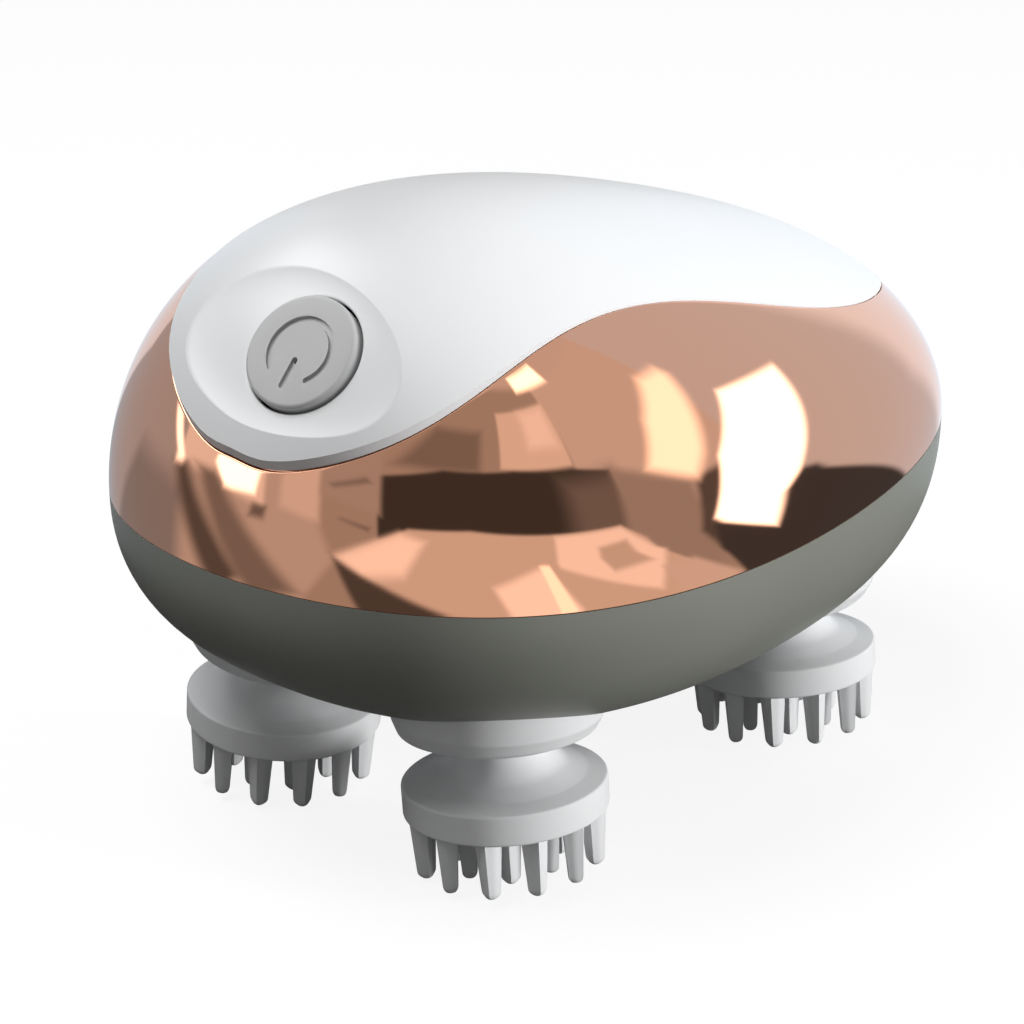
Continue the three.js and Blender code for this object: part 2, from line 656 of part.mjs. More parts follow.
function makeDeck() {
  const plate = slabAt(DECK_BOTTOM, deckTop).intersect(bowlRoom);
  const pillars = shellPosts.map(({ x, y, seat }) =>
    drum(POST_RADIUS, deckTop - 1, seat - LUG_LENGTH - FIT, SMALL, x, y),
  );
  const bracket = block(
    bearingX - BRACKET.thickness / 2, bearingX + BRACKET.thickness / 2,
    -BRACKET.width / 2, BRACKET.width / 2,
    deckTop - 1, WORM_HEIGHT + BRACKET.width / 2,
  );
  const saddle = block(
    motorFront + SADDLE_START, motorRear - 2, -MOTOR_RADIUS * 0.6, MOTOR_RADIUS * 0.6,
    deckTop - 1, WORM_HEIGHT - MOTOR_HALF_HEIGHT - FIT,
  );
  const whole = join(plate, ...pillars, bracket, saddle);
  const bearingBore = placed(drum(BEARING_RADIUS + FIT, -5, 5), alongX(bearingX));
  const spindleBores = heads.map(({ x, y }) => drum(SPINDLE_RADIUS + FIT, -THROUGH, 0, SMALL, x, y));
  const hubBores = [-1, 1].map((side) =>
    drum(HUB_RADIUS + 1, -THROUGH, 0, MIDDLE, HEAD_MIDDLE, side * HEAD_Y),
  );
  const screwWays = midPosts.map((x) => drum(SCREW.hole, -THROUGH, 0, 6, x, 0));
  const clampWays = [-1, 1].map((side) =>
    drum(SMALL_SCREW.radius + FIT, -THROUGH, 0, 6, clampScrewX, side * clampScrewY),
  );
  const threads = shellPosts.map(({ x, y, seat }) => drum(SCREW.hole, seat - 14, seat, 6, x, y));
  const bores = [bearingBore, ...spindleBores, ...hubBores, ...screwWays, ...clampWays, ...threads];
  return cut(whole, ...bores, portRoom);
}

// Turns a piece that stands on +Z so that it lies along +X at the worm's height.
function alongX(x, z = WORM_HEIGHT) {
  return new THREE.Matrix4().makeRotationY(Math.PI / 2).setPosition(x, 0, z);
}

function makeCentreGear(side) {
  const wheelLow = WORM_HEIGHT - WHEEL_FACE / 2;
  const spur = gear(gearShape(CENTRE_TEETH, centreRadius, 0), GEAR_BOTTOM, gearTop);
  const hub = drum(HUB_RADIUS, gearTop - 0.5, wheelLow + 0.5);
  const helix = lead / (2 * Math.PI * WORM_RADIUS) / wheelRadius;
  const phase = side > 0 ? Math.PI / WHEEL_TEETH - Math.PI / 2 : Math.PI / 2;
  const teeth = gearShape(WHEEL_TEETH, wheelRadius, phase);
  const wheel = gear(teeth, wheelLow, wheelLow + WHEEL_FACE, helix, WORM_HEIGHT);
  return cut(join(spur, hub, wheel), drum(AXLE_RADIUS + FIT, -THROUGH, THROUGH, SMALL));
}

function makeHeadGear(row) {
  const halfPitch = Math.PI / HEAD_TEETH;
  const front = CENTRE_TEETH % 2 ? 0 : halfPitch;
  const phase = row < 0 ? front : Math.PI + halfPitch;
  const teeth = gear(gearShape(HEAD_TEETH, headGearRadius, phase), GEAR_BOTTOM, gearTop);
  return cut(teeth, drum(SPINDLE_RADIUS + FIT, -THROUGH, 0));
}

// The worm, with one right hand thread, along +Z before it is laid down. A row of four points
// runs along the thread, and the root between two turns joins each row to the one a turn on.
function makeWorm() {
  const size = lead / Math.PI;
  const root = WORM_RADIUS - 1.15 * size;
  const tip = WORM_RADIUS + 0.85 * size;
  const thick = lead / 4 - BACKLASH / 2;
  const slope = Math.tan(THREE.MathUtils.degToRad(20));
  const atRoot = thick + (WORM_RADIUS - root) * slope;
  const atTip = thick - (tip - WORM_RADIUS) * slope;
  const section = [[root, -atRoot], [tip, -atTip], [tip, atTip], [root, atRoot]];
  const turns = Math.ceil(WORM_LENGTH / lead) + 3;
  const rows = turns * WORM_STEPS;
  const points = [];
  const faces = [];
  for (let i = 0; i <= rows; i++) {
    const turn = i / WORM_STEPS - turns / 2;
    const angle = 2 * Math.PI * turn + Math.PI / 2;
    for (const [radius, dz] of section) {
      points.push(radius * Math.cos(angle), radius * Math.sin(angle), lead * turn + dz);
    }
  }
  const quad = (a, b, c, d) => faces.push([a, b, c], [a, c, d]);
  for (let i = 0; i < rows; i++) {
    for (let k = 0; k < 3; k++) quad(4 * i + k, 4 * i + 4 + k, 4 * i + 5 + k, 4 * i + 1 + k);
    const on = 4 * (i + WORM_STEPS);
    if (i + WORM_STEPS < rows) quad(4 * i + 3, 4 * i + 7, on + 4, on);
  }
  // Each jagged end is closed by a fan, which the cut to length then takes off.
  const lastTurn = rows - WORM_STEPS;
  const lowEnd = [0, 1, 2, 3];
  const highEnd = [4 * rows + 3, 4 * rows + 2, 4 * rows + 1, 4 * rows];
  for (let i = WORM_STEPS; i > 0; i--) lowEnd.push(4 * i);
  for (let i = lastTurn; i < rows; i++) highEnd.push(4 * i + 3);
  for (const [loop, end] of [[lowEnd, -1], [highEnd, 1]]) {
    const middle = points.length / 3;
    points.push(0, 0, (end * lead * (turns - 1)) / 2);
    loop.forEach((a, i) => faces.push([a, loop[(i + 1) % loop.length], middle]));
  }
  const thread = closedSolid(points, faces, false);
  const length = drum(tip + 1, -WORM_LENGTH / 2, WORM_LENGTH / 2);
  return cut(thread.intersect(length), drum(SHAFT_RADIUS + FIT, -THROUGH, THROUGH, SMALL));
}

function makePad(side) {
  const outer = turned(
    [
      [0, -PAD_BOTTOM], [PAD_RADIUS, -PAD_BOTTOM], [PAD_RADIUS, -PAD_TOP],
      [PAD_RADIUS - 2.4, -PAD_TOP + 0.7], [PAD_RADIUS - 5.4, -PAD_TOP + 2],
      [NECK_RADIUS + 0.7, -PAD_TOP + 4], [NECK_RADIUS, -NECK_TOP], [0, -NECK_TOP],
    ],
    WIDE,
  );
  const ring = PAD_RADIUS - TINE_INSET - TINE_RADIUS;
  const tines = [];
  for (const [count, radius, offset] of [[OUTER_TINES, ring, 0], [INNER_TINES, INNER_RING, INNER_TURN]]) {
    for (let i = 0; i < count; i++) {
      const angle = (side * 2 * Math.PI * (i + offset)) / count;
      const turn = new THREE.Matrix4().makeRotationZ(angle);
      turn.setPosition(radius * Math.cos(angle), radius * Math.sin(angle), -PAD_BOTTOM);
      tines.push(placed(makeTine(), turn));
    }
  }
  return cut(join(outer, ...tines), coreForm(FIT));
}

// A tine hangs down from z = 0, with a ridge that faces outwards along +X.
function makeTine() {
  return turned(
    [[0, -TINE_LENGTH], [TINE_TIP_RADIUS, -TINE_LENGTH + 0.6], [TINE_RADIUS, 0.6], [0, 0.6]],
    4,
  );
}

// The hard core of a head: a stem with a flange that the soft pad grips. grow makes its room.
function coreForm(grow) {
  const flangeLow = -PAD_BOTTOM + PAD_SKIN;
  const flangeHigh = flangeLow + CORE_FLANGE_THICKNESS;
  const top = grow ? 0 : -CORE_TOP;
  return turned(
    [
      [0, flangeLow - grow], [CORE_FLANGE_RADIUS + grow, flangeLow - grow],
      [CORE_FLANGE_RADIUS + grow, flangeHigh + grow], [CORE_RADIUS + grow, flangeHigh + grow + 0.6],
      [CORE_RADIUS + grow, top], [0, top],
    ],
    MIDDLE,
  );
}

function makeCore(side) {
  const lean = new THREE.Matrix4().makeRotationX(-side * THREE.MathUtils.degToRad(CANT));
  const bore = placed(drum(SPINDLE_RADIUS + FIT, PIVOT_DEPTH - SPINDLE_DEPTH - FIT, 5, SMALL), lean);
  return cut(coreForm(0), bore);
}

// The boot's lip leans, rising outwards with the bowl's side.
function makeBoot(row, side) {
  const top = turretTop;
  const inner = BOOT_RADIUS - BOOT_WALL;
  const lip = -BOOT_BOTTOM;
  const boot = turned(
    [
      [BOOT_MOUTH, lip + 1.6], [BOOT_MOUTH, lip], [BOOT_RADIUS - 3, lip],
      [BOOT_RADIUS - 1, lip + 1.5], [BOOT_RADIUS, lip + 4.4], [BOOT_RADIUS, top],
      [inner, top], [inner, lip + 4.2], [BOOT_MOUTH, lip + 1.6],
    ],
    WIDE,
  );
  const away = new THREE.Vector2(row * HEAD_X, side * HEAD_Y).normalize();
  return boot.warp((p) => {
    const share = THREE.MathUtils.clamp((lip + LEAN_START - p[2]) / LEAN_LENGTH, 0, 1);
    p[2] += share * BOOT_LEAN * (p[0] * away.x + p[1] * away.y);
  });
}

function makeBush() {
  const bore = SPINDLE_RADIUS + FIT;
  const bottom = BASE_BOTTOM - BOSS_LENGTH + 1;
  return turned(
    [[bore, bottom], [BUSH_RADIUS, bottom], [BUSH_RADIUS, baseTop], [BUSH_FLANGE, baseTop],
      [BUSH_FLANGE, baseTop + BUSH_FLANGE_HEIGHT], [bore, baseTop + BUSH_FLANGE_HEIGHT], [bore, bottom]],
    MIDDLE,
  );
}

// The motor lies along X behind the worm. Its round can is flattened above and below.
function motorOutline(grow) {
  const radius = MOTOR_RADIUS + grow;
  const half = MOTOR_HALF_HEIGHT + grow;
  const reach = Math.asin(half / radius);
  const shape = new THREE.Shape();
  shape.absarc(0, 0, radius, -reach, reach, false);
  shape.absarc(0, 0, radius, Math.PI - reach, Math.PI + reach, false);
  shape.closePath();
  return shape;
}

// Stands an outline drawn across the motor, so that it runs along +X from x.
function acrossX(shape, x, length) {
  const basis = new THREE.Matrix4().makeBasis(
    new THREE.Vector3(0, 1, 0), new THREE.Vector3(0, 0, 1), new THREE.Vector3(1, 0, 0),
  );
  return placed(extruded(shape, 0, length), basis.setPosition(x, 0, WORM_HEIGHT));
}

function makeMotorCan() {
  const can = acrossX(motorOutline(0), motorFront, MOTOR_LENGTH);
  const nose = placed(drum(MOTOR_NOSE_RADIUS, -MOTOR_NOSE_LENGTH, 1), alongX(motorFront));
  const bore = placed(drum(SHAFT_RADIUS + FIT, -THROUGH, THROUGH, SMALL), alongX(motorFront));
  return cut(join(can, nose), bore);
}

function makeMotorCap() {
  const cap = acrossX(motorOutline(-0.4), motorRear, MOTOR_CAP_LENGTH);
  const boss = placed(drum(MOTOR_NOSE_RADIUS, -1, 1), alongX(motorRear + MOTOR_CAP_LENGTH));
  const tabs = [-1, 1].map((side) => {
    const y = side * MOTOR_RADIUS * 0.6;
    const x = motorRear + MOTOR_CAP_LENGTH;
    return block(x - 1, x + 3, y - 1, y + 1, WORM_HEIGHT - 0.3, WORM_HEIGHT + 0.3);
  });
  const bore = placed(drum(SHAFT_RADIUS + FIT, -THROUGH, THROUGH, SMALL), alongX(motorRear));
  return cut(join(cap, boss, ...tabs), bore);
}

// A strap over the motor, with two feet on the deck.
function makeMotorClamp() {
  const x = motorFront + MOTOR_LENGTH / 2 - CLAMP_WIDTH / 2;
  const outer = acrossX(motorOutline(FIT + CLAMP_THICKNESS), x, CLAMP_WIDTH);
  const inner = acrossX(motorOutline(FIT), x - 1, CLAMP_WIDTH + 2);
  const footHigh = deckTop + CLAMP_THICKNESS;
  const wide = MOTOR_RADIUS + FIT + CLAMP_THICKNESS;
  const sides = [-1, 1].map((side) => {
    const [near, far] = [wide - CLAMP_THICKNESS, wide].map((y) => side * y);
    const leg = block(x, x + CLAMP_WIDTH, Math.min(near, far), Math.max(near, far), deckTop, WORM_HEIGHT);
    const end = side * (wide + CLAMP_FOOT);
    const foot = block(x, x + CLAMP_WIDTH, Math.min(near, end), Math.max(near, end), deckTop, footHigh);
    return join(leg, foot);
  });
  const upper = block(x - 1, x + CLAMP_WIDTH + 1, -THROUGH, THROUGH, WORM_HEIGHT - 0.01, THROUGH);
  const holes = [-1, 1].map((side) =>
    drum(SMALL_SCREW.radius + FIT, deckTop - CLEAR, deckTop + CLEAR, 6, clampScrewX, side * clampScrewY),
  );
  return cut(join(cut(outer, inner).intersect(upper), ...sides), ...holes);
}

// An open tray on four legs that stand on the deck.
function makeTray() {
  const { length, width, height, x } = BATTERY;
  const [halfL, halfW] = [length / 2 + FIT + TRAY_WALL, width / 2 + FIT + TRAY_WALL];
  const floor = trayLow + TRAY_WALL;
  const outer = block(x - halfL, x + halfL, -halfW, halfW, trayLow, floor + height * 0.6);
  const [roomL, roomW] = [halfL - TRAY_WALL, halfW - TRAY_WALL];
  const room = block(x - roomL, x + roomL, -roomW, roomW, floor, floor + THROUGH);
  const [windowL, windowW] = [length * 0.3, width * 0.3];
  const window = block(x - windowL, x + windowL, -windowW, windowW, trayLow - 1, floor + 1);
  const [legL, legW] = [halfL - TRAY_LEG - 0.5, halfW - TRAY_LEG - 0.5];
  const legs = [-1, 1].flatMap((end) =>
    [-1, 1].map((side) => drum(TRAY_LEG, deckTop, trayLow + 1, SMALL, x + end * legL, side * legW)),
  );
  return cut(join(outer, ...legs), room, window);
}

// A flat cell with round edges, lying in the tray.
function makeBattery() {
  const { length, width, height, x } = BATTERY;
  const round = height * 0.4;
  const [w, h] = [width / 2, height / 2];
  const shape = new THREE.Shape();
  shape.absarc(w - round, -h + round, round, -Math.PI / 2, 0, false);
  shape.absarc(w - round, h - round, round, 0, Math.PI / 2, false);
  shape.absarc(-w + round, h - round, round, Math.PI / 2, Math.PI, false);
  shape.absarc(-w + round, -h + round, round, Math.PI, 1.5 * Math.PI, false);
  shape.closePath();
  const middle = trayLow + TRAY_WALL + height / 2 + FIT / 2;
  return placed(acrossX(shape, x - length / 2, length), move(0, 0, middle - WORM_HEIGHT));
}

function makeBearing() {
  const bore = SHAFT_RADIUS + FIT;
  const half = BRACKET.thickness / 2;
  return turned(
    [[bore, -half], [BEARING_RADIUS, -half], [BEARING_RADIUS, half], [BEARING_RADIUS + 1, half],
      [BEARING_RADIUS + 1, half + 0.7], [bore, half + 0.7], [bore, -half]],
    MIDDLE,
  );
}

function makeButton() {
  const skirt = drum(BUTTON_RADIUS, -SLEEVE_LENGTH - FIT, 0, WIDE);
  const flangeTop = -SLEEVE_LENGTH - FIT;
  const flange = drum(BUTTON_RADIUS + BUTTON_FLANGE, flangeTop - 1, flangeTop, WIDE);
  const room = drum(BUTTON_RADIUS - 1.3, flangeTop - 2, -1.4);
  const stemLow = SWITCH.height - BOARD.depth + BUTTON_TRAVEL + 0.2;
  const stem = drum(STEM_RADIUS, stemLow, -1, SMALL);
  return inButtonFrame(join(cut(join(skirt, flange), room), stem));
}

function makeBoard() {
  const { width, length, thickness, depth } = BOARD;
  const plate = block(-width / 2, width / 2, -length / 2, length / 2, -depth - thickness, -depth);
  const holes = [-1, 1].map((side) =>
    drum(SMALL_SCREW.radius + FIT, -depth - 5, -depth + 5, 6, side * BOARD_POST_X, 0),
  );
  const back = 0.2 - depth - thickness;
  const parts = [
    block(-width * 0.3, -width * 0.1, -length * 0.42, -length * 0.24, back - 1.2, back),
    block(width * 0.08, width * 0.3, length * 0.14, length * 0.38, back - 1.6, back),
  ];
  return inButtonFrame(cut(join(plate, ...parts), ...holes));
}

function makeSwitch() {
  const half = SWITCH.size / 2;
  const low = -BOARD.depth + FIT / 3;
  const top = -BOARD.depth + SWITCH.height;
  const box = block(-half, half, -half, half, low, top - 0.7);
  return inButtonFrame(join(box, drum(STEM_RADIUS, low, top, SMALL)));
}

// The charging port: a plug of hard plastic in the bowl's pointed end, with two contacts.
function makePort() {
  const bowl = eggHalf(-1, 0, OUTER_STATIONS, OUTER_STEPS);
  const plug = portDrum(PORT_RADIUS, PORT_DEPTH).intersect(bowl);
  const holes = [-1, 1].map((side) =>
    portDrum(CONTACT_RADIUS + FIT, THROUGH, (side * CONTACT_SPACING) / 2, SMALL),
  );
  return cut(plug, ...holes);
}

function makeContact(side) {
  const pin = portDrum(CONTACT_RADIUS, PORT_DEPTH + 2, (side * CONTACT_SPACING) / 2, SMALL);
  return pin.intersect(eggHalf(-1, FIT, OUTER_STATIONS, OUTER_STEPS));
}

// The assembly, piece by piece.
add("lower_housing", makeBowl(), "bowl");
add("upper_housing", makeDome(), "copper");
add("top_cover", makeCover(), "cover");
add("housing_seal", makeSeal(), "black");
add("power_button", makeButton(), "button");
add("control_board", makeBoard(), "board");
add("tact_switch", makeSwitch(), "black");
add("gearbox_base", makeGearboxBase(), "frame");
add("gearbox_deck", makeDeck(), "frame");
add("motor_can", makeMotorCan(), "steel");
add("motor_cap", makeMotorCap(), "black");
add("motor_clamp", makeMotorClamp(), "steel");
const shaftLength = motorRear + MOTOR_CAP_LENGTH + 1 - bearingX + 2;
add("motor_shaft", placed(drum(SHAFT_RADIUS, -2, shaftLength - 2, SMALL), alongX(bearingX)), "steel");
add("worm", placed(makeWorm(), alongX(HEAD_MIDDLE)), "bronze");
add("worm_bearing", placed(makeBearing(), alongX(bearingX)), "bronze");
add("battery_tray", makeTray(), "frame");
add("battery_cell", makeBattery(), "cell");
add("charging_port", makePort(), "black");

for (const [side, name] of [[-1, "left"], [1, "right"]]) {
  const gearPost = new THREE.Group();
  gearPost.position.set(HEAD_MIDDLE, side * HEAD_Y, 0);
  body.add(gearPost);
  add("centre_gear_" + name, makeCentreGear(side), "nylon", gearPost);
  add("centre_axle_" + name, drum(AXLE_RADIUS, AXLE_LOW, AXLE_HIGH, SMALL), "steel", gearPost);
  add("charging_contact_" + name, makeContact(side), "gold");
  const boardScrew = inButtonFrame(
    placed(screw(SMALL_SCREW, 4.5), new THREE.Matrix4().makeRotationX(Math.PI)
      .setPosition(side * BOARD_POST_X, 0, -BOARD.depth - BOARD.thickness)),
  );
  add("board_screw_" + name, boardScrew, "steel");
  const clampScrew = screw(SMALL_SCREW, DECK_THICKNESS + CLAMP_THICKNESS);
  add("clamp_screw_" + name, clampScrew, "steel").position.set(
    clampScrewX, side * clampScrewY, deckTop + CLAMP_THICKNESS,
  );
}

["front", "rear"].forEach((name, i) => {
  const baseScrew = placed(screw(SCREW, BASE_SCREW_LENGTH), new THREE.Matrix4().makeRotationX(Math.PI));
  add("base_screw_" + name, baseScrew, "steel").position.set(midPosts[i], 0, SCREW_SEAT);
  add("deck_screw_" + name, screw(SCREW, DECK_SCREW_LENGTH), "steel").position.set(midPosts[i], 0, deckTop);
});

shellPosts.forEach(({ x, y, seat }, i) => {
  const name = "shell_screw_" + SHELL_POST_NAMES[i];
  add(name, screw(SCREW, SHELL_SCREW_LENGTH), "steel").position.set(x, y, seat);
});

for (const { name, row, side, x, y } of heads) {
  const post = new THREE.Group();
  post.position.set(x, y, 0);
  body.add(post);
  add("head_gear_" + name, makeHeadGear(row), "nylon", post);
  add("spindle_" + name, drum(SPINDLE_RADIUS, -SPINDLE_DEPTH, deckTop - 0.5, SMALL), "steel", post);
  add("bush_" + name, makeBush(), "bronze", post);
  add("boot_" + name, makeBoot(row, side), "silicone", post);
  const head = new THREE.Group();
  head.position.z = -PIVOT_DEPTH;
  head.rotation.x = side * THREE.MathUtils.degToRad(CANT);
  post.add(head);
  add("head_core_" + name, makeCore(side), "nylon", head);
  add("head_pad_" + name, makePad(side), "silicone", head);
}

// The brush stands on the tips of its tines.
const model = new THREE.Group();
model.add(body);
body.updateMatrixWorld(true);
const lowest = new THREE.Box3().setFromObject(body, true).min.z;
body.position.z = -lowest;

export default model;
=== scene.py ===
# %% [markdown]
# # A handheld massage brush for pets
# The brush is an egg in three shells: a plated dome, a grey bowl and a white cover that lies
# on the dome. Four soft heads hang under it. The construction file gives every piece its
# size and its place, and this lesson gives the pieces that show their fine surfaces.
# All the work here is in metres, in the same frame as the construction.

# %% Load the construction
import json
import math
import bmesh
import bpy
import numpy as np
from mathutils import Matrix, Vector

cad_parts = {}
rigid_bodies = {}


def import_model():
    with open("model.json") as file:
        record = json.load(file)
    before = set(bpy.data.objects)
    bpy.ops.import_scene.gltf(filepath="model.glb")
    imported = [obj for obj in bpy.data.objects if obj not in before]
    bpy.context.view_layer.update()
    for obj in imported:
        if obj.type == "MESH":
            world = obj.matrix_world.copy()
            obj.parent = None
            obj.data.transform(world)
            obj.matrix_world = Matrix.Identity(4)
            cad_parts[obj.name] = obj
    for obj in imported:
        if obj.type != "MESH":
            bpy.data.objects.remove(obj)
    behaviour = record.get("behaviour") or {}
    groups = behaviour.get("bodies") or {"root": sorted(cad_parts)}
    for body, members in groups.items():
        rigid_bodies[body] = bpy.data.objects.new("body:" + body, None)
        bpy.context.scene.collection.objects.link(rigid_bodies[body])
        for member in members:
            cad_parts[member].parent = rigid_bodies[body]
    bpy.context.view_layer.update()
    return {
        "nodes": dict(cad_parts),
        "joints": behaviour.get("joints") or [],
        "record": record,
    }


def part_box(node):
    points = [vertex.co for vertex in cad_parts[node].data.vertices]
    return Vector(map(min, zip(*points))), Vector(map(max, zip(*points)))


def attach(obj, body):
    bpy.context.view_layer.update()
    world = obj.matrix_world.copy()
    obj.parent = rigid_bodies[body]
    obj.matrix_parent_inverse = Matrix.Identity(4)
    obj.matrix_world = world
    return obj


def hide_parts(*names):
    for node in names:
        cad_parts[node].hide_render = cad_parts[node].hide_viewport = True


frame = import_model()
MM = 0.001
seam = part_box("lower_housing")[1].z


def put_in_scene(name, data):
    thing = bpy.data.objects.new(name, data)
    bpy.context.scene.collection.objects.link(thing)
    return thing


print("seam height in mm:", round(seam / MM, 2), "nodes:", len(frame["nodes"]))

# %% [markdown]
# ## The camera
# The view is set first, because it decides which details matter. A photograph can be matched
# by moving a camera about until it looks right, or by solving for it from the outline of the
# egg. This one was solved, so it is written as a distance, two angles and a small sideways
# step. The camera stands close, so the far heads come out about a tenth smaller than the near one.

# %% Camera
CAMERA_DISTANCE = 0.3692
CAMERA_TURN = math.radians(-48.2746)
CAMERA_RISE = math.radians(20.8385)
CAMERA_RIGHT = -0.00687
CAMERA_UP = -0.00913
LENS = 98.44

back = Vector((math.sin(CAMERA_TURN) * math.cos(CAMERA_RISE),
               -math.cos(CAMERA_TURN) * math.cos(CAMERA_RISE), math.sin(CAMERA_RISE)))
right = Vector((math.cos(CAMERA_TURN), math.sin(CAMERA_TURN), 0))
up = back.cross(right)
egg_middle = Vector((0, 0, seam))
camera_data = bpy.data.cameras.new("photo_view")
camera_data.lens = LENS
camera_data.sensor_width = 36
camera_data.clip_start = 0.01
camera_data.clip_end = 30
camera = put_in_scene("photo_view", camera_data)
place = egg_middle + back * CAMERA_DISTANCE + right * CAMERA_RIGHT + up * CAMERA_UP
camera.matrix_world = Matrix.Translation(place) @ Matrix((right, up, back)).transposed().to_4x4()
bpy.context.scene.camera = camera
print("camera at", [round(v, 4) for v in place])

# %% [markdown]
# ## The egg as formulas
# The body is not an ellipsoid: its bulk lies towards the blunt end. It could be sculpted by
# hand, but a mirror finish shows every dent, so the surface comes from formulas. Along the
# egg a curve gives its half width and its height, and across it a rounded section joins them.
# The sizes are the same ones that the construction uses.

# %% Egg sizes
HALF_LENGTH = 62 * MM
PLAN = {"size": 44.7 * MM, "lean": -0.179, "swell": 0.152, "power": 2.005}
DOME = {"size": 35.8 * MM, "lean": -0.378, "swell": 0.251, "power": 1.967}
DOME_ROUNDNESS = 1.918
BOWL = {"size": 27.5 * MM, "lean": 0.105, "swell": 0.046, "power": 2.6}
BOWL_ROUNDNESS = 2.352
FLOOR_DEPTH = 22.6 * MM
FLOOR_BLEND = 1.6 * MM
WALL = 2.4 * MM
FIT = 0.3 * MM


def egg_curve(u, size, lean, swell, power):
    rounded = np.maximum(0, 1 - np.abs(u) ** power) ** (1 / power)
    return size * rounded * (1 + lean * u + swell * u * u)


def soft_min(a, b, blend):
    h = np.clip(0.5 + (b - a) / (2 * blend), 0, 1)
    return b + (a - b) * h - blend * h * (1 - h)


def shrunk(spec, inset):
    return {**spec, "size": spec["size"] - inset}


# %% [markdown]
# ## Points on the egg
# Two ways to find a point are useful. The first walks along and across the dome in degrees,
# as the cover's outline does. The second shoots a ray from the middle of the egg, which gives
# evenly spread columns of points without the pinched poles of the first.

# %% Points on the egg
HALVINGS = 44
OUTSIDE = 1.2 * HALF_LENGTH


def dome_point(along, across, lift=0.0):
    """Points over the dome and the directions out of it, for angles in degrees."""
    def at(a, b):
        u = -np.cos(a)
        s = np.sin(b)
        y = egg_curve(u, **PLAN) * np.sign(s) * np.abs(s) ** (2 / DOME_ROUNDNESS)
        z = egg_curve(u, **DOME) * np.maximum(0, np.cos(b)) ** (2 / DOME_ROUNDNESS)
        return np.stack([u * HALF_LENGTH, y, z], -1)

    a, b = np.radians(along), np.radians(across)
    step = 0.002
    out = np.cross(at(a + step, b) - at(a - step, b), at(a, b + step) - at(a, b - step))
    out /= np.linalg.norm(out, axis=-1, keepdims=True)
    return at(a, b) + out * np.asarray(lift)[..., None], out


def egg_along(directions, half, inset=0.0):
    """Where rays from the middle of the egg leave one of its halves."""
    spec, power = (DOME, DOME_ROUNDNESS) if half > 0 else (BOWL, BOWL_ROUNDNESS)
    near = np.zeros(directions.shape[:-1])
    far = np.full(directions.shape[:-1], OUTSIDE)
    for _ in range(HALVINGS):
        reach = (near + far) / 2
        x, y, z = np.moveaxis(directions * reach[..., None], -1, 0)
        u = np.clip(x / (HALF_LENGTH - inset), -1, 1)
        width = np.maximum(egg_curve(u, **shrunk(PLAN, inset)), 1e-9)
        height = egg_curve(u, **shrunk(spec, inset))
        section = np.maximum(0, 1 - (np.abs(y) / width) ** power) ** (1 / power)
        limit = height * section
        if half < 0:
            limit = soft_min(limit, FLOOR_DEPTH - inset, FLOOR_BLEND)
        inside = (np.abs(x) < HALF_LENGTH - inset) & (np.abs(y) < width) & (np.abs(z) < limit)
        near = np.where(inside, reach, near)
        far = np.where(inside, far, reach)
    return directions * near[..., None]


def toward(azimuth, elevation):
    level = np.cos(elevation)
    return np.stack([np.cos(azimuth) * level, np.sin(azimuth) * level, np.sin(elevation)], -1)


def compass(points):
    """The azimuth and elevation of points, seen from the middle of the egg."""
    return np.arctan2(points[..., 1], points[..., 0]), np.arctan2(
        points[..., 2], np.hypot(points[..., 0], points[..., 1]))


# %% [markdown]
# ## Tools for making pieces
# Every piece is built as one closed mesh and then smoothed by angle, so that curved walls are
# soft and real edges stay crisp.

# %% Mesh tools
SMOOTH_ANGLE = math.radians(32)
WELD = 1e-7
SLIVER = 1e-8


def make_piece(name, points, faces, lift=None):
    """A closed mesh with its faces pointing out, raised to the seam unless told otherwise."""
    mesh = bpy.data.meshes.new(name)
    raised = np.asarray(points, float) + (0, 0, seam if lift is None else lift)
    mesh.from_pydata(raised.tolist(), [], [tuple(f) for f in faces])
    work = bmesh.new()
    work.from_mesh(mesh)
    bmesh.ops.remove_doubles(work, verts=work.verts, dist=WELD)
    bmesh.ops.dissolve_degenerate(work, edges=work.edges, dist=SLIVER)
    bmesh.ops.recalc_face_normals(work, faces=work.faces)
    work.to_mesh(mesh)
    work.free()
    piece = put_in_scene(name, mesh)
    smooth(piece)
    return piece


def smooth(piece):
    piece.data.shade_smooth()
    piece.data.set_sharp_from_angle(angle=SMOOTH_ANGLE)


# %% [markdown]
# There are two ways to lay out points here. A net of columns is closed round the egg, and
# `woven` closes it down its rows too, like a ring with a profile. A stack of rings is what a
# lathe makes, and `turned` spins a profile into one.

# %% Weaving and turning
def net_faces(columns, rows, closed=False):
    """The faces of a net of points in columns, closed round and, if asked, down its rows."""
    c, r = np.meshgrid(np.arange(columns), np.arange(rows if closed else rows - 1), indexing="ij")
    nc, nr = (c + 1) % columns, (r + 1) % rows
    faces = np.stack([c * rows + r, nc * rows + r, nc * rows + nr, c * rows + nr], -1)
    return faces.reshape(-1, 4).tolist()


def woven(name, sheet):
    """A ring from a sheet of points (columns, rows, 3), closed both ways."""
    return make_piece(name, sheet.reshape(-1, 3), net_faces(*sheet.shape[:2], closed=True))


def band_faces(rings, sides):
    """The faces between rings of points that follow each other."""
    faces = []
    for j in range(rings - 1):
        for k in range(sides):
            n = (k + 1) % sides
            faces.append((j * sides + k, j * sides + n, (j + 1) * sides + n, (j + 1) * sides + k))
    return faces


def lathe_mesh(profile, sides):
    """Points and faces of a profile of (radius, height) spun round the vertical axis."""
    points = []
    for radius, height in profile:
        for k in range(sides):
            turn = 2 * math.pi * k / sides
            points.append((radius * math.cos(turn), radius * math.sin(turn), height))
    return points, band_faces(len(profile), sides)


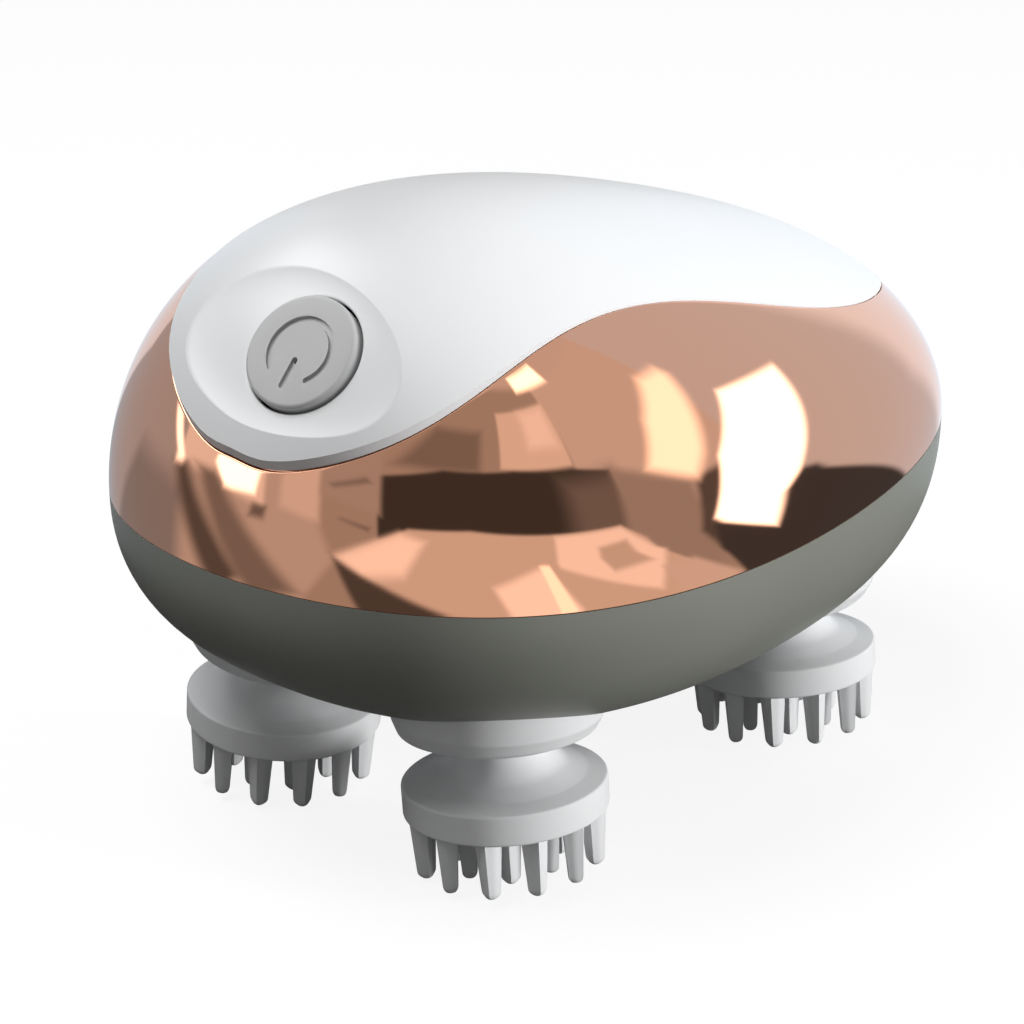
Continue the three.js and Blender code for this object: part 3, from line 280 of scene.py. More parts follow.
def turned(name, profile, sides, lift=0.0):
    points, faces = lathe_mesh(profile, sides)
    return make_piece(name, points, faces, lift)


# %% [markdown]
# `carve` joins and cuts closed meshes, and its result is plain mesh again. `rounded` gives a
# lathe profile its round corners before it is spun, which is neater than a bevel afterwards.

# %% Cutting and rounding
MOST_OF_HALF = 0.48


def carve(piece, tools, operation="DIFFERENCE"):
    for tool in tools:
        change = piece.modifiers.new("change", "BOOLEAN")
        change.operation = operation
        change.solver = "MANIFOLD"
        change.object = tool
    evaluated = piece.evaluated_get(bpy.context.evaluated_depsgraph_get())
    shaped = bpy.data.meshes.new_from_object(evaluated)
    piece.modifiers.clear()
    piece.data = shaped
    for tool in tools:
        bpy.data.objects.remove(tool)
    smooth(piece)
    return piece


def rounded(corners, steps=6):
    """A profile from corners of (radius, height), where a third value rounds a corner."""
    profile = []
    for i, corner in enumerate(corners):
        here = Vector(corner[:2])
        bend = corner[2] if len(corner) > 2 else 0
        if bend == 0 or i in (0, len(corners) - 1):
            profile.append(tuple(here))
            continue
        before = Vector(corners[i - 1][:2]) - here
        after = Vector(corners[i + 1][:2]) - here
        half = before.angle(after) / 2
        reach = min(bend / math.tan(half), before.length * MOST_OF_HALF, after.length * MOST_OF_HALF)
        bend = reach * math.tan(half)
        start = here + before.normalized() * reach
        end = here + after.normalized() * reach
        middle = here + (before.normalized() + after.normalized()).normalized() * (bend / math.sin(half))
        a, b = start - middle, end - middle
        sweep = a.angle_signed(b)
        for k in range(steps + 1):
            turn = Matrix.Rotation(-sweep * k / steps, 2)
            profile.append(tuple(middle + turn @ a))
    return profile


# %% [markdown]
# ## The cover's outline
# Seen from above the white cover is a pear with a narrow waist. Its edge could be drawn as a
# curve by hand, but the dome's edge has to follow it at an even gap. So one function gives the
# outline for both, and each asks for it a little larger or smaller.

# %% Cover outline
COVER_FRONT = 15.2
COVER_REAR = 156
COVER_OUTLINE = {"size": 54.4, "lean": -0.18, "swell": 0.014, "power": 2.73}
COVER_SHIFT = -6.1
WAIST_DEPTH = 0.358
WAIST_PLACE = 64.5
WAIST_LENGTH = 38.4
FRONT_RISE = (1.1 * MM, 28.8)
REAR_RISE = (0.6 * MM, 13.2)
COVER_SINK = 1.5 * MM
SEAT_CLEARANCE = 0.004
LEDGE_ALONG = 0.06
LEDGE_ACROSS = 0.13
COLUMNS = 400
turns = np.arange(COLUMNS) / COLUMNS


def cover_outline(grow_along=0.0, grow_across=0.0):
    angle = 2 * np.pi * turns
    middle = (COVER_FRONT + COVER_REAR) / 2
    reach = (COVER_REAR - COVER_FRONT) / 2
    u = -np.cos(angle)
    side = np.where(np.sin(angle) < 0, -1, 1)
    along = middle + reach * u
    waist = 1 - WAIST_DEPTH * np.exp(-(((along - WAIST_PLACE) / WAIST_LENGTH) ** 2))
    half = egg_curve(u, **COVER_OUTLINE) * waist
    shift = COVER_SHIFT * (COVER_REAR - along) / (COVER_REAR - COVER_FRONT)
    return middle + (along - middle) * (1 + grow_along), shift + side * half * (1 + grow_across)


def cover_rise(along):
    """How far the cover stands off the dome: flush at its waist, proud at both ends."""
    front = FRONT_RISE[0] * np.exp(-(((along - COVER_FRONT) / FRONT_RISE[1]) ** 2))
    return front + REAR_RISE[0] * np.exp(-(((COVER_REAR - along) / REAR_RISE[1]) ** 2))


def edge_frame(along, across):
    """Points of an outline on the dome, with the directions out of the dome and away from it."""
    point, out = dome_point(along, across)
    run = np.roll(point, -1, 0) - np.roll(point, 1, 0)
    away = np.cross(out, run)
    away /= np.linalg.norm(away, axis=-1, keepdims=True)
    return point, out, away


# %% [markdown]
# ## The plated dome
# The rose gold shell is a moulding with a plated skin, as smooth as a mirror. It is woven as
# one ring of columns: out of the seat under the cover, over a small round edge, down the dome
# to the seam, and back up the inside of the wall. Subdividing a coarse shell would be quicker,
# but the reflections would wobble.

# %% Plated dome
DOME_EDGE = 0.15 * MM
SEAM_EDGE = 0.12 * MM
DOME_ROWS = 72
INNER_ROWS = 10
DOME_EDGE_STEPS = 6


def rows_down(start, rows, inset=0.0, low=0.0):
    """Rows of points down the dome, from the start points to a height close to the seam."""
    azimuth, elevation = compass(start)
    share = np.linspace(0, 1, rows)[None, :]
    lowest = np.arcsin(low / np.linalg.norm(start, axis=-1))[:, None]
    height = elevation[:, None] * (1 - share) + lowest * share
    return egg_along(toward(np.broadcast_to(azimuth[:, None], height.shape), height), 1, inset)


seat_point, seat_out, seat_away = edge_frame(*cover_outline(SEAT_CLEARANCE, SEAT_CLEARANCE))
profile = [seat_point - seat_out * COVER_SINK]
for turn in np.linspace(0, math.pi / 2, DOME_EDGE_STEPS):
    step_away = DOME_EDGE * (1 - math.cos(turn))
    drop = DOME_EDGE * (1 - math.sin(turn))
    profile.append(seat_point + seat_away * step_away - seat_out * drop)
outer = rows_down(profile[-1], DOME_ROWS, low=SEAM_EDGE)
azimuth, _ = compass(outer[:, -1])
level = np.zeros(COLUMNS)
rim = egg_along(toward(azimuth, level), 1, SEAM_EDGE)
rim_inner = egg_along(toward(azimuth, level), 1, WALL)
opening_point, opening_out, _ = edge_frame(*cover_outline(-LEDGE_ALONG, -LEDGE_ACROSS))
inner = rows_down(opening_point - opening_out * WALL, INNER_ROWS, inset=WALL)[:, ::-1]
inner[:, 0] = rim_inner
ledge = opening_point - opening_out * COVER_SINK
sheet = np.concatenate([np.stack(profile[:-1], 1), outer, rim[:, None], inner, ledge[:, None]], 1)
plated_dome = woven("plated_dome", sheet)
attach(plated_dome, "housing")
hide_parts("upper_housing")
print("plated dome:", len(plated_dome.data.polygons), "faces")

# %% [markdown]
# ## The bowl
# The lower shell is a deep grey moulding. Its wall has four round openings for the heads, two
# sunk holes for screws and a hole for the charging port at the pointed end. The shell is spun
# out of rays from the middle, and the openings are then cut with closed drums, as a mould
# maker would add cores. First come the two solids that this takes.

# %% Half an egg and a drum
ROW_CROWDING = 1.15


def drum(radius, low, high, x=0.0, y=0.0, sides=96):
    points, faces = lathe_mesh([(0, low), (radius, low), (radius, high), (0, high)], sides)
    return make_piece("drum", np.array(points) + (x, y, 0), faces)


def along_x(piece, x, y, z):
    """Lays a piece that stands on the vertical axis along the egg."""
    turn = Matrix.Translation((x, y, z + seam)) @ Matrix.Rotation(math.pi / 2, 4, "Y")
    piece.data.transform(turn @ Matrix.Translation((0, 0, -seam)))
    return piece


def half_egg(name, inset, columns, rows, top=0.0):
    """The egg's lower half as a closed solid with a flat top."""
    azimuth = np.linspace(-np.pi, np.pi, columns, endpoint=False)
    # Rows crowd towards the rim, where the wall is steepest.
    elevation = -np.pi / 2 * np.linspace(0, 1, rows) ** ROW_CROWDING
    a, e = np.meshgrid(azimuth, elevation, indexing="ij")
    grid = egg_along(toward(a, e), -1, inset)
    grid[:, -1] = grid[:, -1].mean(0)
    grid[:, 0, 2] = top
    lid = [tuple(range(0, columns * rows, rows))]
    return make_piece(name, grid.reshape(-1, 3), net_faces(columns, rows) + lid)


# %% [markdown]
# The heads and the screws are where the construction has them, so their places are asked of the
# frame. Inside, a tower of plastic stays round each head and a post round each screw.

# %% Bowl
PORT_RADIUS = 5.2 * MM
PORT_DROP = 7.5 * MM
PORT_START = HALF_LENGTH - 19 * MM
PORT_LENGTH = 20 * MM
BOOT_RADIUS = 13.2 * MM
TURRET_WALL = 1.8 * MM
TURRET_TOP = -14 * MM
POST_RADIUS = 3.4 * MM
SCREW_SEAT = -19.3 * MM
SCREW_HEAD = 2.3 * MM
SCREW_HOLE = 1.5 * MM
BELOW = -30 * MM
HEADS = [row + "_" + side for row in ("front", "rear") for side in ("left", "right")]
BOWL_COLUMNS = 320
BOWL_ROWS = 72
HOLLOW_COLUMNS = 128
HOLLOW_ROWS = 32
OVERCUT = 1 * MM
BOOT_HOLE_SIDES = 128
PORT_SIDES = 64
SCREW_SIDES = 48


def middle_of(node):
    low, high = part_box(node)
    return (low + high) / 2


head_places = {name: middle_of("spindle_" + name) for name in HEADS}
screw_places = [middle_of("base_screw_front"), middle_of("base_screw_rear")]
hollow = half_egg("hollow", WALL, HOLLOW_COLUMNS, HOLLOW_ROWS, top=OVERCUT)
turret = BOOT_RADIUS + FIT + TURRET_WALL
towers = [drum(turret, BELOW, TURRET_TOP, p.x, p.y) for p in head_places.values()]
posts = [drum(POST_RADIUS, BELOW, TURRET_TOP, p.x, p.y) for p in screw_places]
carve(hollow, towers + posts)
bowl_shell = half_egg("bowl_shell", 0, BOWL_COLUMNS, BOWL_ROWS)
openings = [drum(BOOT_RADIUS + FIT, BELOW, 0, p.x, p.y, BOOT_HOLE_SIDES) for p in head_places.values()]
screw_ways = [drum(SCREW_HOLE, BELOW, 0, p.x, p.y, SCREW_SIDES) for p in screw_places]
sink_radius = SCREW_HEAD + FIT
screw_sinks = [drum(sink_radius, BELOW, SCREW_SEAT, p.x, p.y, SCREW_SIDES) for p in screw_places]
port_drum = drum(PORT_RADIUS + FIT, 0, PORT_LENGTH, sides=PORT_SIDES)
port_hole = along_x(port_drum, PORT_START, 0, -PORT_DROP)
carve(bowl_shell, [hollow] + openings + screw_ways + screw_sinks + [port_hole])
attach(bowl_shell, "housing")
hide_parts("lower_housing")
print("bowl:", len(bowl_shell.data.polygons), "faces")

# %% [markdown]
# ## The white cover
# The cover is a plate that lies in a seat on the dome, flush at its waist and proud at its ends.
# A shallow dish holds the button. Its surface is woven outwards from the button's hole: first
# to the rim of the dish, then to the outline, down a bevel and back underneath. The bevel grows
# with the plate's rise, so it shows as a grey band at both ends. The hole is part of the weave,
# so nothing has to be cut and the dish stays perfectly smooth.

# %% Cover surface
BUTTON_RADIUS = 7.1 * MM
DISH_MIDDLE = (30.8, -7.0)
DISH_ALONG = 11.4
DISH_ACROSS = 33
DISH_DEPTH = 1.25 * MM
DISH_STEEPNESS = 4
HOLE_STEPS = 8

press = next(j for j in frame["joints"] if j["name"] == "power_button_press")
button_out = -Vector(press["axis"]).normalized()
button_points = [v.co for v in frame["nodes"]["power_button"].data.vertices]
button_top = max(p.dot(button_out) for p in button_points)
rim_points = [p for p in button_points if button_top - p.dot(button_out) < 0.01 * MM]
button_middle = sum(rim_points, Vector()) / len(rim_points)
button_right = Vector((0, 0, 1)).cross(button_out).normalized()
button_up = button_out.cross(button_right)
button_axes = np.array([button_right, button_up, button_out])
button_origin = np.array(button_middle) - (0, 0, seam)


def dish_reach(along, across):
    """1 on the rim of the dish, less inside it."""
    return np.hypot((along - DISH_MIDDLE[0]) / DISH_ALONG, (across - DISH_MIDDLE[1]) / DISH_ACROSS)


def cover_lift(along, across):
    dish = DISH_DEPTH * (1 - dish_reach(along, across) ** DISH_STEEPNESS)
    return cover_rise(along) - np.maximum(0, dish)


def on_cover(along, across):
    return dome_point(along, across, cover_lift(along, across))[0]


def in_button_plane(points):
    return (points - button_origin) @ button_axes.T


def find_on_cover(target, guess):
    """The dome angles whose place on the cover lies over points of the button's plane."""
    along, across = np.array(guess, float)
    nudge = 0.01
    for _ in range(HOLE_STEPS):
        here = in_button_plane(on_cover(along, across))[:, :2]
        by_along = (in_button_plane(on_cover(along + nudge, across))[:, :2] - here) / nudge
        by_across = (in_button_plane(on_cover(along, across + nudge))[:, :2] - here) / nudge
        miss = target - here
        area = by_along[:, 0] * by_across[:, 1] - by_along[:, 1] * by_across[:, 0]
        along += (miss[:, 0] * by_across[:, 1] - miss[:, 1] * by_across[:, 0]) / area
        across += (by_along[:, 0] * miss[:, 1] - by_along[:, 1] * miss[:, 0]) / area
    return along, across


# %% [markdown]
# The button looks out along its own tilted axis, so its hole is round in the button's plane and
# not on the dome. The first rows run from that hole to the dish's rim, the next to the outline.

# %% Cover from the hole to the outline
HOLE_EDGE = 0.2 * MM
COVER_BEVEL = 0.2 * MM
BEVEL_SHARE = 0.75
DISH_ROWS = 16
PLATE_ROWS = 64
ROW_GAP = 0.03 * MM

edge_along, edge_across = cover_outline()
bearing = np.arctan2((edge_across - DISH_MIDDLE[1]) / DISH_ACROSS,
                     (edge_along - DISH_MIDDLE[0]) / DISH_ALONG)
rim_along = DISH_MIDDLE[0] + DISH_ALONG * np.cos(bearing)
rim_across = DISH_MIDDLE[1] + DISH_ACROSS * np.sin(bearing)
rim_flat = in_button_plane(on_cover(rim_along, rim_across))[:, :2]
ray = rim_flat / np.linalg.norm(rim_flat, axis=-1, keepdims=True)
hole_radius = BUTTON_RADIUS + FIT
guess = (0.5 * (rim_along + DISH_MIDDLE[0]), 0.5 * (rim_across + DISH_MIDDLE[1]))
hole_along, hole_across = find_on_cover(ray * (hole_radius + HOLE_EDGE), guess)
columns = []
for share in np.linspace(0, 1, DISH_ROWS):
    columns.append(on_cover(hole_along + (rim_along - hole_along) * share,
                            hole_across + (rim_across - hole_across) * share))
edge_point, edge_out, edge_away = edge_frame(edge_along, edge_across)
rise = cover_rise(edge_along)
bevel = COVER_BEVEL + BEVEL_SHARE * rise
width = np.linalg.norm(on_cover(edge_along, edge_across) - columns[-1], axis=-1)
last_share = 1 - (bevel + ROW_GAP) / width
for share in (1 - np.cos(np.linspace(0, np.pi, PLATE_ROWS)[1:])) / 2:
    columns.append(on_cover(rim_along + (edge_along - rim_along) * share * last_share,
                            rim_across + (edge_across - rim_across) * share * last_share))
print("cover: bevel", round(bevel.min() / MM, 2), "to", round(bevel.max() / MM, 2), "mm wide")

# %% [markdown]
# The remaining rows go over the bevel, under the plate and up the wall of the hole, which ends in
# a small round edge. The last of them meets the first, so the weave is closed.

# %% Cover
BEVEL_SLOPE = 0.9
BEVEL_ROWS = 4
UNDER_ROWS = 12
UNDER_START = 0.06
HOLE_ROWS = 5

for share in np.linspace(0, 1, BEVEL_ROWS):
    step_away = bevel * (share - 1)
    height = rise - bevel * BEVEL_SLOPE * share
    columns.append(edge_point + edge_away * step_away[:, None] + edge_out * height[:, None])
underside = FIT - COVER_SINK
columns.append(edge_point + edge_out * underside)
for share in np.linspace(UNDER_START, 1, UNDER_ROWS):
    under_along = edge_along + (hole_along - edge_along) * share
    under_across = edge_across + (hole_across - edge_across) * share
    columns.append(dome_point(under_along, under_across, np.full(COLUMNS, underside))[0])


def hole_ring(radius, height):
    return np.column_stack([ray * radius, height]) @ button_axes + button_origin


hole_foot = in_button_plane(columns[-1])[:, 2]
hole_top = in_button_plane(columns[0])[:, 2]
columns[-1] = hole_ring(hole_radius, hole_foot)
for turn in np.linspace(0, math.pi / 2, HOLE_ROWS)[:-1]:
    radius = hole_radius + HOLE_EDGE * (1 - math.cos(turn))
    columns.append(hole_ring(radius, hole_top - HOLE_EDGE * (1 - math.sin(turn))))
white_cover = woven("white_cover", np.stack(columns, 1))
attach(white_cover, "housing")
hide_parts("top_cover")
print("cover:", len(white_cover.data.polygons), "faces, hole from", round(hole_foot.max() / MM, 2), "mm")

# %% [markdown]
# ## The button
# The button is a grey disc with a pressed-in power mark: an open ring and a short bar. The mark
# could be a decal, but on the real button it is a groove that catches the light on one side, so
# it is cut. The cutter is a path made wide, with round ends.

# %% Groove cutter
MARK_STROKE = 0.75 * MM
MARK_DEPTH = 0.45 * MM
MARK_HEADROOM = 2 * MM
CAP_STEPS = 10


def groove(path):
    """A closed cutter of even width with round ends, along a flat path."""
    path = [Vector(p) for p in path]
    half = MARK_STROKE / 2
    left, right_side = [], []
    for i, p in enumerate(path):
        run = (path[min(i + 1, len(path) - 1)] - path[max(i - 1, 0)]).normalized()
        side = Vector((-run.y, run.x)) * half
        left.append(p + side)
        right_side.append(p - side)
    caps = []
    for end, toward_end in ((path[-1], path[-1] - path[-2]), (path[0], path[0] - path[1])):
        start_turn = math.atan2(toward_end.y, toward_end.x) + math.pi / 2
        turns_round = [start_turn - math.pi * k / CAP_STEPS for k in range(1, CAP_STEPS)]
        caps.append([end + Vector((math.cos(a), math.sin(a))) * half for a in turns_round])
    loop = left + caps[0] + right_side[::-1] + caps[1]
    low, high = -MARK_DEPTH, MARK_HEADROOM
    points = [(p.x, p.y, low) for p in loop] + [(p.x, p.y, high) for p in loop]
    n = len(loop)
    faces = [tuple(range(n)), tuple(range(2 * n - 1, n - 1, -1))]
    faces += [(i, i + n, (i + 1) % n + n, (i + 1) % n) for i in range(n)]
    return make_piece("groove", points, faces, 0)


# %% [markdown]
# The tiny hole at the bar's inner end is taken for the light hole of an indicator lamp. The whole
# mark is turned a little from straight down, as it is on the real one. The button is made lying
# flat and is then laid into the axes that the construction gives it.

# %% Button
BUTTON_EDGE = 0.5 * MM
BUTTON_SKIRT = 5 * MM
BUTTON_SIDES = 160
MARK_RADIUS = 4.0 * MM
MARK_TURN = math.radians(-99)
MARK_GAP = math.radians(42)
MARK_STEPS = 60
BAR_START = 1.25 * MM
BAR_END = 4.5 * MM
DOT_RADIUS = 0.3 * MM
DOT_DEPTH = 1.2 * MM
DOT_SIDES = 32

button_profile = rounded(
    [(0, -BUTTON_SKIRT), (BUTTON_RADIUS, -BUTTON_SKIRT, 0), (BUTTON_RADIUS, 0, BUTTON_EDGE), (0, 0)])
button_cap = turned("button_cap", button_profile, BUTTON_SIDES)
ring_turns = np.linspace(MARK_TURN + MARK_GAP, MARK_TURN + 2 * math.pi - MARK_GAP, MARK_STEPS)
ring_path = [(MARK_RADIUS * math.cos(t), MARK_RADIUS * math.sin(t)) for t in ring_turns]
bar_way = (math.cos(MARK_TURN), math.sin(MARK_TURN))
bar_path = [(r * bar_way[0], r * bar_way[1]) for r in (BAR_START, (BAR_START + BAR_END) / 2, BAR_END)]
dot_points, dot_faces = lathe_mesh(
    [(0, -DOT_DEPTH), (DOT_RADIUS, -DOT_DEPTH), (DOT_RADIUS, DOT_DEPTH), (0, DOT_DEPTH)], DOT_SIDES)
dot_place = (BAR_START * bar_way[0], BAR_START * bar_way[1], 0)
dot = make_piece("dot", np.array(dot_points) + dot_place, dot_faces, 0)
carve(button_cap, [groove(ring_path), groove(bar_path), dot])
button_frame = Matrix((button_right, button_up, button_out)).transposed().to_4x4()
button_cap.data.transform(Matrix.Translation(button_middle) @ button_frame)
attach(button_cap, "button")
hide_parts("power_button")
print("button:", len(button_cap.data.polygons), "faces at", [round(v / MM, 1) for v in button_middle])

# %% [markdown]
# ## The boots
# Each head turns inside a soft collar that closes its opening in the bowl. The collar is a
# turned form with a thick rolled lip, so a lathe profile with round corners makes it. Its lip
# leans outwards, up towards the nearest corner of the egg. Tilting the whole boot would lift it
# out of its opening, so only the points close to the lip are shifted, more and more towards it.

# %% Boots
BOOT_BOTTOM = 24.4 * MM
BOOT_WALL = 2.3 * MM
BOOT_MOUTH = 6.6 * MM
BOOT_LEAN = 0.13
LEAN_WAY = (0.47, 0.88)
LEAN_START = 6 * MM
LEAN_LENGTH = 4.4 * MM
BOOT_SIDES = 160
BEND_STEPS = 8
boot_inner = BOOT_RADIUS - BOOT_WALL
lip = -BOOT_BOTTOM
# Each corner is its radius, its height and the bend that rounds it.
boot_corners = [
    (boot_inner, TURRET_TOP, 0), (BOOT_RADIUS, TURRET_TOP, 0.3 * MM),
    (BOOT_RADIUS, lip + 3.1 * MM, 2.2 * MM), (BOOT_RADIUS - 0.9 * MM, lip + 0.9 * MM, 1.2 * MM),
    (BOOT_RADIUS - 2.9 * MM, lip, 0.25 * MM),
    (BOOT_MOUTH, lip + 0.2 * MM, 0.6 * MM), (BOOT_MOUTH, lip + 1.8 * MM, 0.6 * MM),
    (boot_inner, lip + 4.4 * MM, 2 * MM), (boot_inner, TURRET_TOP, 0),
]


def lean_lip(piece, name):
    row = -1 if name.startswith("front") else 1
    side = -1 if name.endswith("left") else 1
    for vertex in piece.data.vertices:
        share = min(1, max(0, (lip + LEAN_START - (vertex.co.z - seam)) / LEAN_LENGTH))
        outward = vertex.co.x * row * LEAN_WAY[0] + vertex.co.y * side * LEAN_WAY[1]
        vertex.co.z += share * BOOT_LEAN * outward


for name in HEADS:
    boot = turned("boot_skin_" + name, rounded(boot_corners, BEND_STEPS), BOOT_SIDES, lift=seam)
    lean_lip(boot, name)
    boot.data.transform(Matrix.Translation((head_places[name].x, head_places[name].y, 0)))
    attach(boot, "housing")
    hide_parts("boot_" + name)
print("boots:", len(HEADS), "with lips", round(BOOT_BOTTOM / MM, 1), "mm under the seam")

# %% [markdown]
# ## The kneading pads
# A pad is moulded in silicone in one piece: a neck, a cone, a thick rim and 19 tines. Each tine
# is a tapered rod with four soft flats and a round tip, wider where it leaves the pad. One tine
# is shaped with care here, and the pads then use it 76 times.

# %% One tine
TINE_LENGTH = 7.6 * MM
TINE_RADIUS = 1.6 * MM
TINE_TIP_RADIUS = 1.15 * MM
TINE_ROOT = 0.5 * MM
TINE_FLARE = 0.22 * MM
TINE_SINK = 0.1 * MM
TAPER_START = 0.15
ROOT_ROWS = 5
TAPER_ROWS = 5
TIP_ROWS = 7
TINE_SIDES = 40
TINE_FLATS = 4
TINE_FLATNESS = 0.85
TINE_SOFTNESS = 6
TINE_PLUMPNESS = 1.06


def tine_mesh():
    """Rings of points down one tine, with a ridge towards +X."""
    rings = []
    for share in np.linspace(0, 1, ROOT_ROWS):
        height = TINE_ROOT * (1 - share) - TINE_SINK * share
        rings.append((TINE_RADIUS + TINE_FLARE * (1 - share) ** 2, height, 1))
    straight = TINE_LENGTH - TINE_TIP_RADIUS
    for share in np.linspace(TAPER_START, 1, TAPER_ROWS):
        rings.append((TINE_RADIUS + (TINE_TIP_RADIUS - TINE_RADIUS) * share, -straight * share, 1))
    for turn in np.linspace(0, math.pi / 2, TIP_ROWS)[1:]:
        height = -straight - TINE_TIP_RADIUS * math.sin(turn)
        rings.append((TINE_TIP_RADIUS * math.cos(turn), height, math.cos(turn) ** 2))
    angles = 2 * np.pi * np.arange(TINE_SIDES) / TINE_SIDES
    part = 2 * np.pi / TINE_FLATS
    offset = (angles + part / 2) % part - part / 2
    # The flats of a square bar, eased back towards a circle so that its ridges are soft.
    flat = np.cos(part / 2) / np.cos(part / 2 - np.abs(offset))
    eased = flat ** TINE_SOFTNESS * TINE_FLATNESS + 1 - TINE_FLATNESS
    shape = eased ** (1 / TINE_SOFTNESS) * TINE_PLUMPNESS
    points = []
    for radius, height, squareness in rings:
        reach = radius * (1 + (shape - 1) * squareness)
        ring = np.stack([reach * np.cos(angles), reach * np.sin(angles), np.full(TINE_SIDES, height)], -1)
        points += ring.tolist()
    return np.array(points), band_faces(len(rings), TINE_SIDES) + [tuple(range(TINE_SIDES))]


tine_points, tine_faces = tine_mesh()
print("one tine:", len(tine_points), "points")

# %% [markdown]
# The tines stand in two rings, mirrored on the other side of the brush. They are joined to the
# pad as one solid, so that no seam shows at their roots. Each pad is tilted a little outwards
# about a pivot just above its neck, as in the construction.

# %% Pads
PIVOT_DEPTH = 17.5 * MM
CANT = math.radians(5)
PAD_RADIUS = 12.8 * MM
PAD_TOP = 12.6 * MM
PAD_BOTTOM = 16.5 * MM
NECK_TOP = 3 * MM
NECK_RADIUS = 5 * MM
PAD_SIDES = 128
TINE_INSET = 0.4 * MM
OUTER_TINES = 12
INNER_TINES = 7
INNER_RING = 6.4 * MM
INNER_TURN = 0.66


def all_tines(side):
    points, faces = [], []
    ring_radius = PAD_RADIUS - TINE_INSET - TINE_RADIUS
    for count, radius, shift in ((OUTER_TINES, ring_radius, 0), (INNER_TINES, INNER_RING, INNER_TURN)):
        for i in range(count):
            angle = side * 2 * math.pi * (i + shift) / count
            place = Matrix.Rotation(angle, 4, "Z") @ Matrix.Translation((radius, 0, -PAD_BOTTOM))
            start = len(points)
            points += [tuple(place @ Vector(p)) for p in tine_points]
            faces += [tuple(start + k for k in f) for f in tine_faces]
    return make_piece("tines", points, faces, 0)


pad_corners = [
    (0, -PAD_BOTTOM), (PAD_RADIUS, -PAD_BOTTOM, 0.4 * MM), (PAD_RADIUS, -PAD_TOP, 0.4 * MM),
    (PAD_RADIUS - 2.4 * MM, -PAD_TOP + 0.7 * MM, 4 * MM),
    (PAD_RADIUS - 5.4 * MM, -PAD_TOP + 2 * MM, 4 * MM),
    (NECK_RADIUS + 0.7 * MM, -PAD_TOP + 4 * MM, 4 * MM), (NECK_RADIUS, -NECK_TOP), (0, -NECK_TOP),
]
for name in HEADS:
    side = -1 if name.endswith("left") else 1
    pad = turned("kneading_pad_" + name, rounded(pad_corners, BEND_STEPS), PAD_SIDES)
    carve(pad, [all_tines(side)], "UNION")
    pivot = Vector((head_places[name].x, head_places[name].y, seam - PIVOT_DEPTH))
    pad.data.transform(Matrix.Translation(pivot) @ Matrix.Rotation(side * CANT, 4, "X"))
    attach(pad, "head_" + name)
    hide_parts("head_pad_" + name)
print("pads:", len(HEADS), "with", OUTER_TINES + INNER_TINES, "tines each,",
      len(pad.data.polygons), "faces each")

# %% [markdown]
# ## Finishes
# Each finish is a shader with a little variation built in: plating is never perfectly even,
# moulded plastic has a fine grain and silicone is faintly cloudy. The variation comes from
# noise in the object's own coordinates, so it stays put from every side.

# %% Finishes
NOISE_DETAIL = 2
finishes = {}


def finish(name, colour, roughness, metallic=0.0, coat=0.0, specular=0.5):
    """A principled shader with its plain values set on its own sockets."""
    material = bpy.data.materials.new(name)
    material.use_nodes = True
    shader = material.node_tree.nodes["Principled BSDF"]
    shader.inputs["Base Color"].default_value = (*colour, 1)
    shader.inputs["Roughness"].default_value = roughness
    shader.inputs["Metallic"].default_value = metallic
    shader.inputs["Coat Weight"].default_value = coat
    shader.inputs["Specular IOR Level"].default_value = specular
    finishes[name] = material
    return material


def noise_of(material, size):
    """Noise whose grains measure about size metres."""
    nodes, links = material.node_tree.nodes, material.node_tree.links
    where = nodes.new("ShaderNodeTexCoord")
    noise = nodes.new("ShaderNodeTexNoise")
    noise.inputs["Scale"].default_value = 1 / size
    noise.inputs["Detail"].default_value = NOISE_DETAIL
    links.new(where.outputs["Object"], noise.inputs["Vector"])
    return noise.outputs["Fac"]


# %% [markdown]
# Three ways to use that noise: it lets a number wander, it lets the colour wander, or it gives
# the surface a relief so fine that only the light shows it.

# %% Variation tools
def vary(material, socket, low, high, size):
    """Lets a plain number wander between two values."""
    nodes, links = material.node_tree.nodes, material.node_tree.links
    spread = nodes.new("ShaderNodeMapRange")
    spread.inputs["To Min"].default_value = low
    spread.inputs["To Max"].default_value = high
    links.new(noise_of(material, size), spread.inputs["Value"])
    links.new(spread.outputs["Result"], nodes["Principled BSDF"].inputs[socket])


def tint(material, first, second, size):
    """Lets the colour wander between two close shades."""
    nodes, links = material.node_tree.nodes, material.node_tree.links
    mix = nodes.new("ShaderNodeMix")
    mix.data_type = "RGBA"
    mix.inputs["A"].default_value = (*first, 1)
    mix.inputs["B"].default_value = (*second, 1)
    links.new(noise_of(material, size), mix.inputs["Factor"])
    links.new(mix.outputs["Result"], nodes["Principled BSDF"].inputs["Base Color"])


def grain(material, size, height):
    """Gives the surface a fine relief."""
    nodes, links = material.node_tree.nodes, material.node_tree.links
    bump = nodes.new("ShaderNodeBump")
    bump.inputs["Strength"].default_value = 1
    bump.inputs["Distance"].default_value = height
    links.new(noise_of(material, size), bump.inputs["Height"])
    links.new(bump.outputs["Normal"], nodes["Principled BSDF"].inputs["Normal"])


def from_screen(red, green, blue):
    """A colour picked on screen, as the linear light that a shader works with."""
    return tuple((c / 255 / 12.92) if c <= 10 else ((c / 255 + 0.055) / 1.055) ** 2.4
                 for c in (red, green, blue))


# %% [markdown]
# The outer finishes are near mirror for the plating, a soft gloss for the cover, satin for the
# button and the bowl, and matt for the silicone, which also lets a little light into itself.
# Colours are written as they look on screen and turned into light.

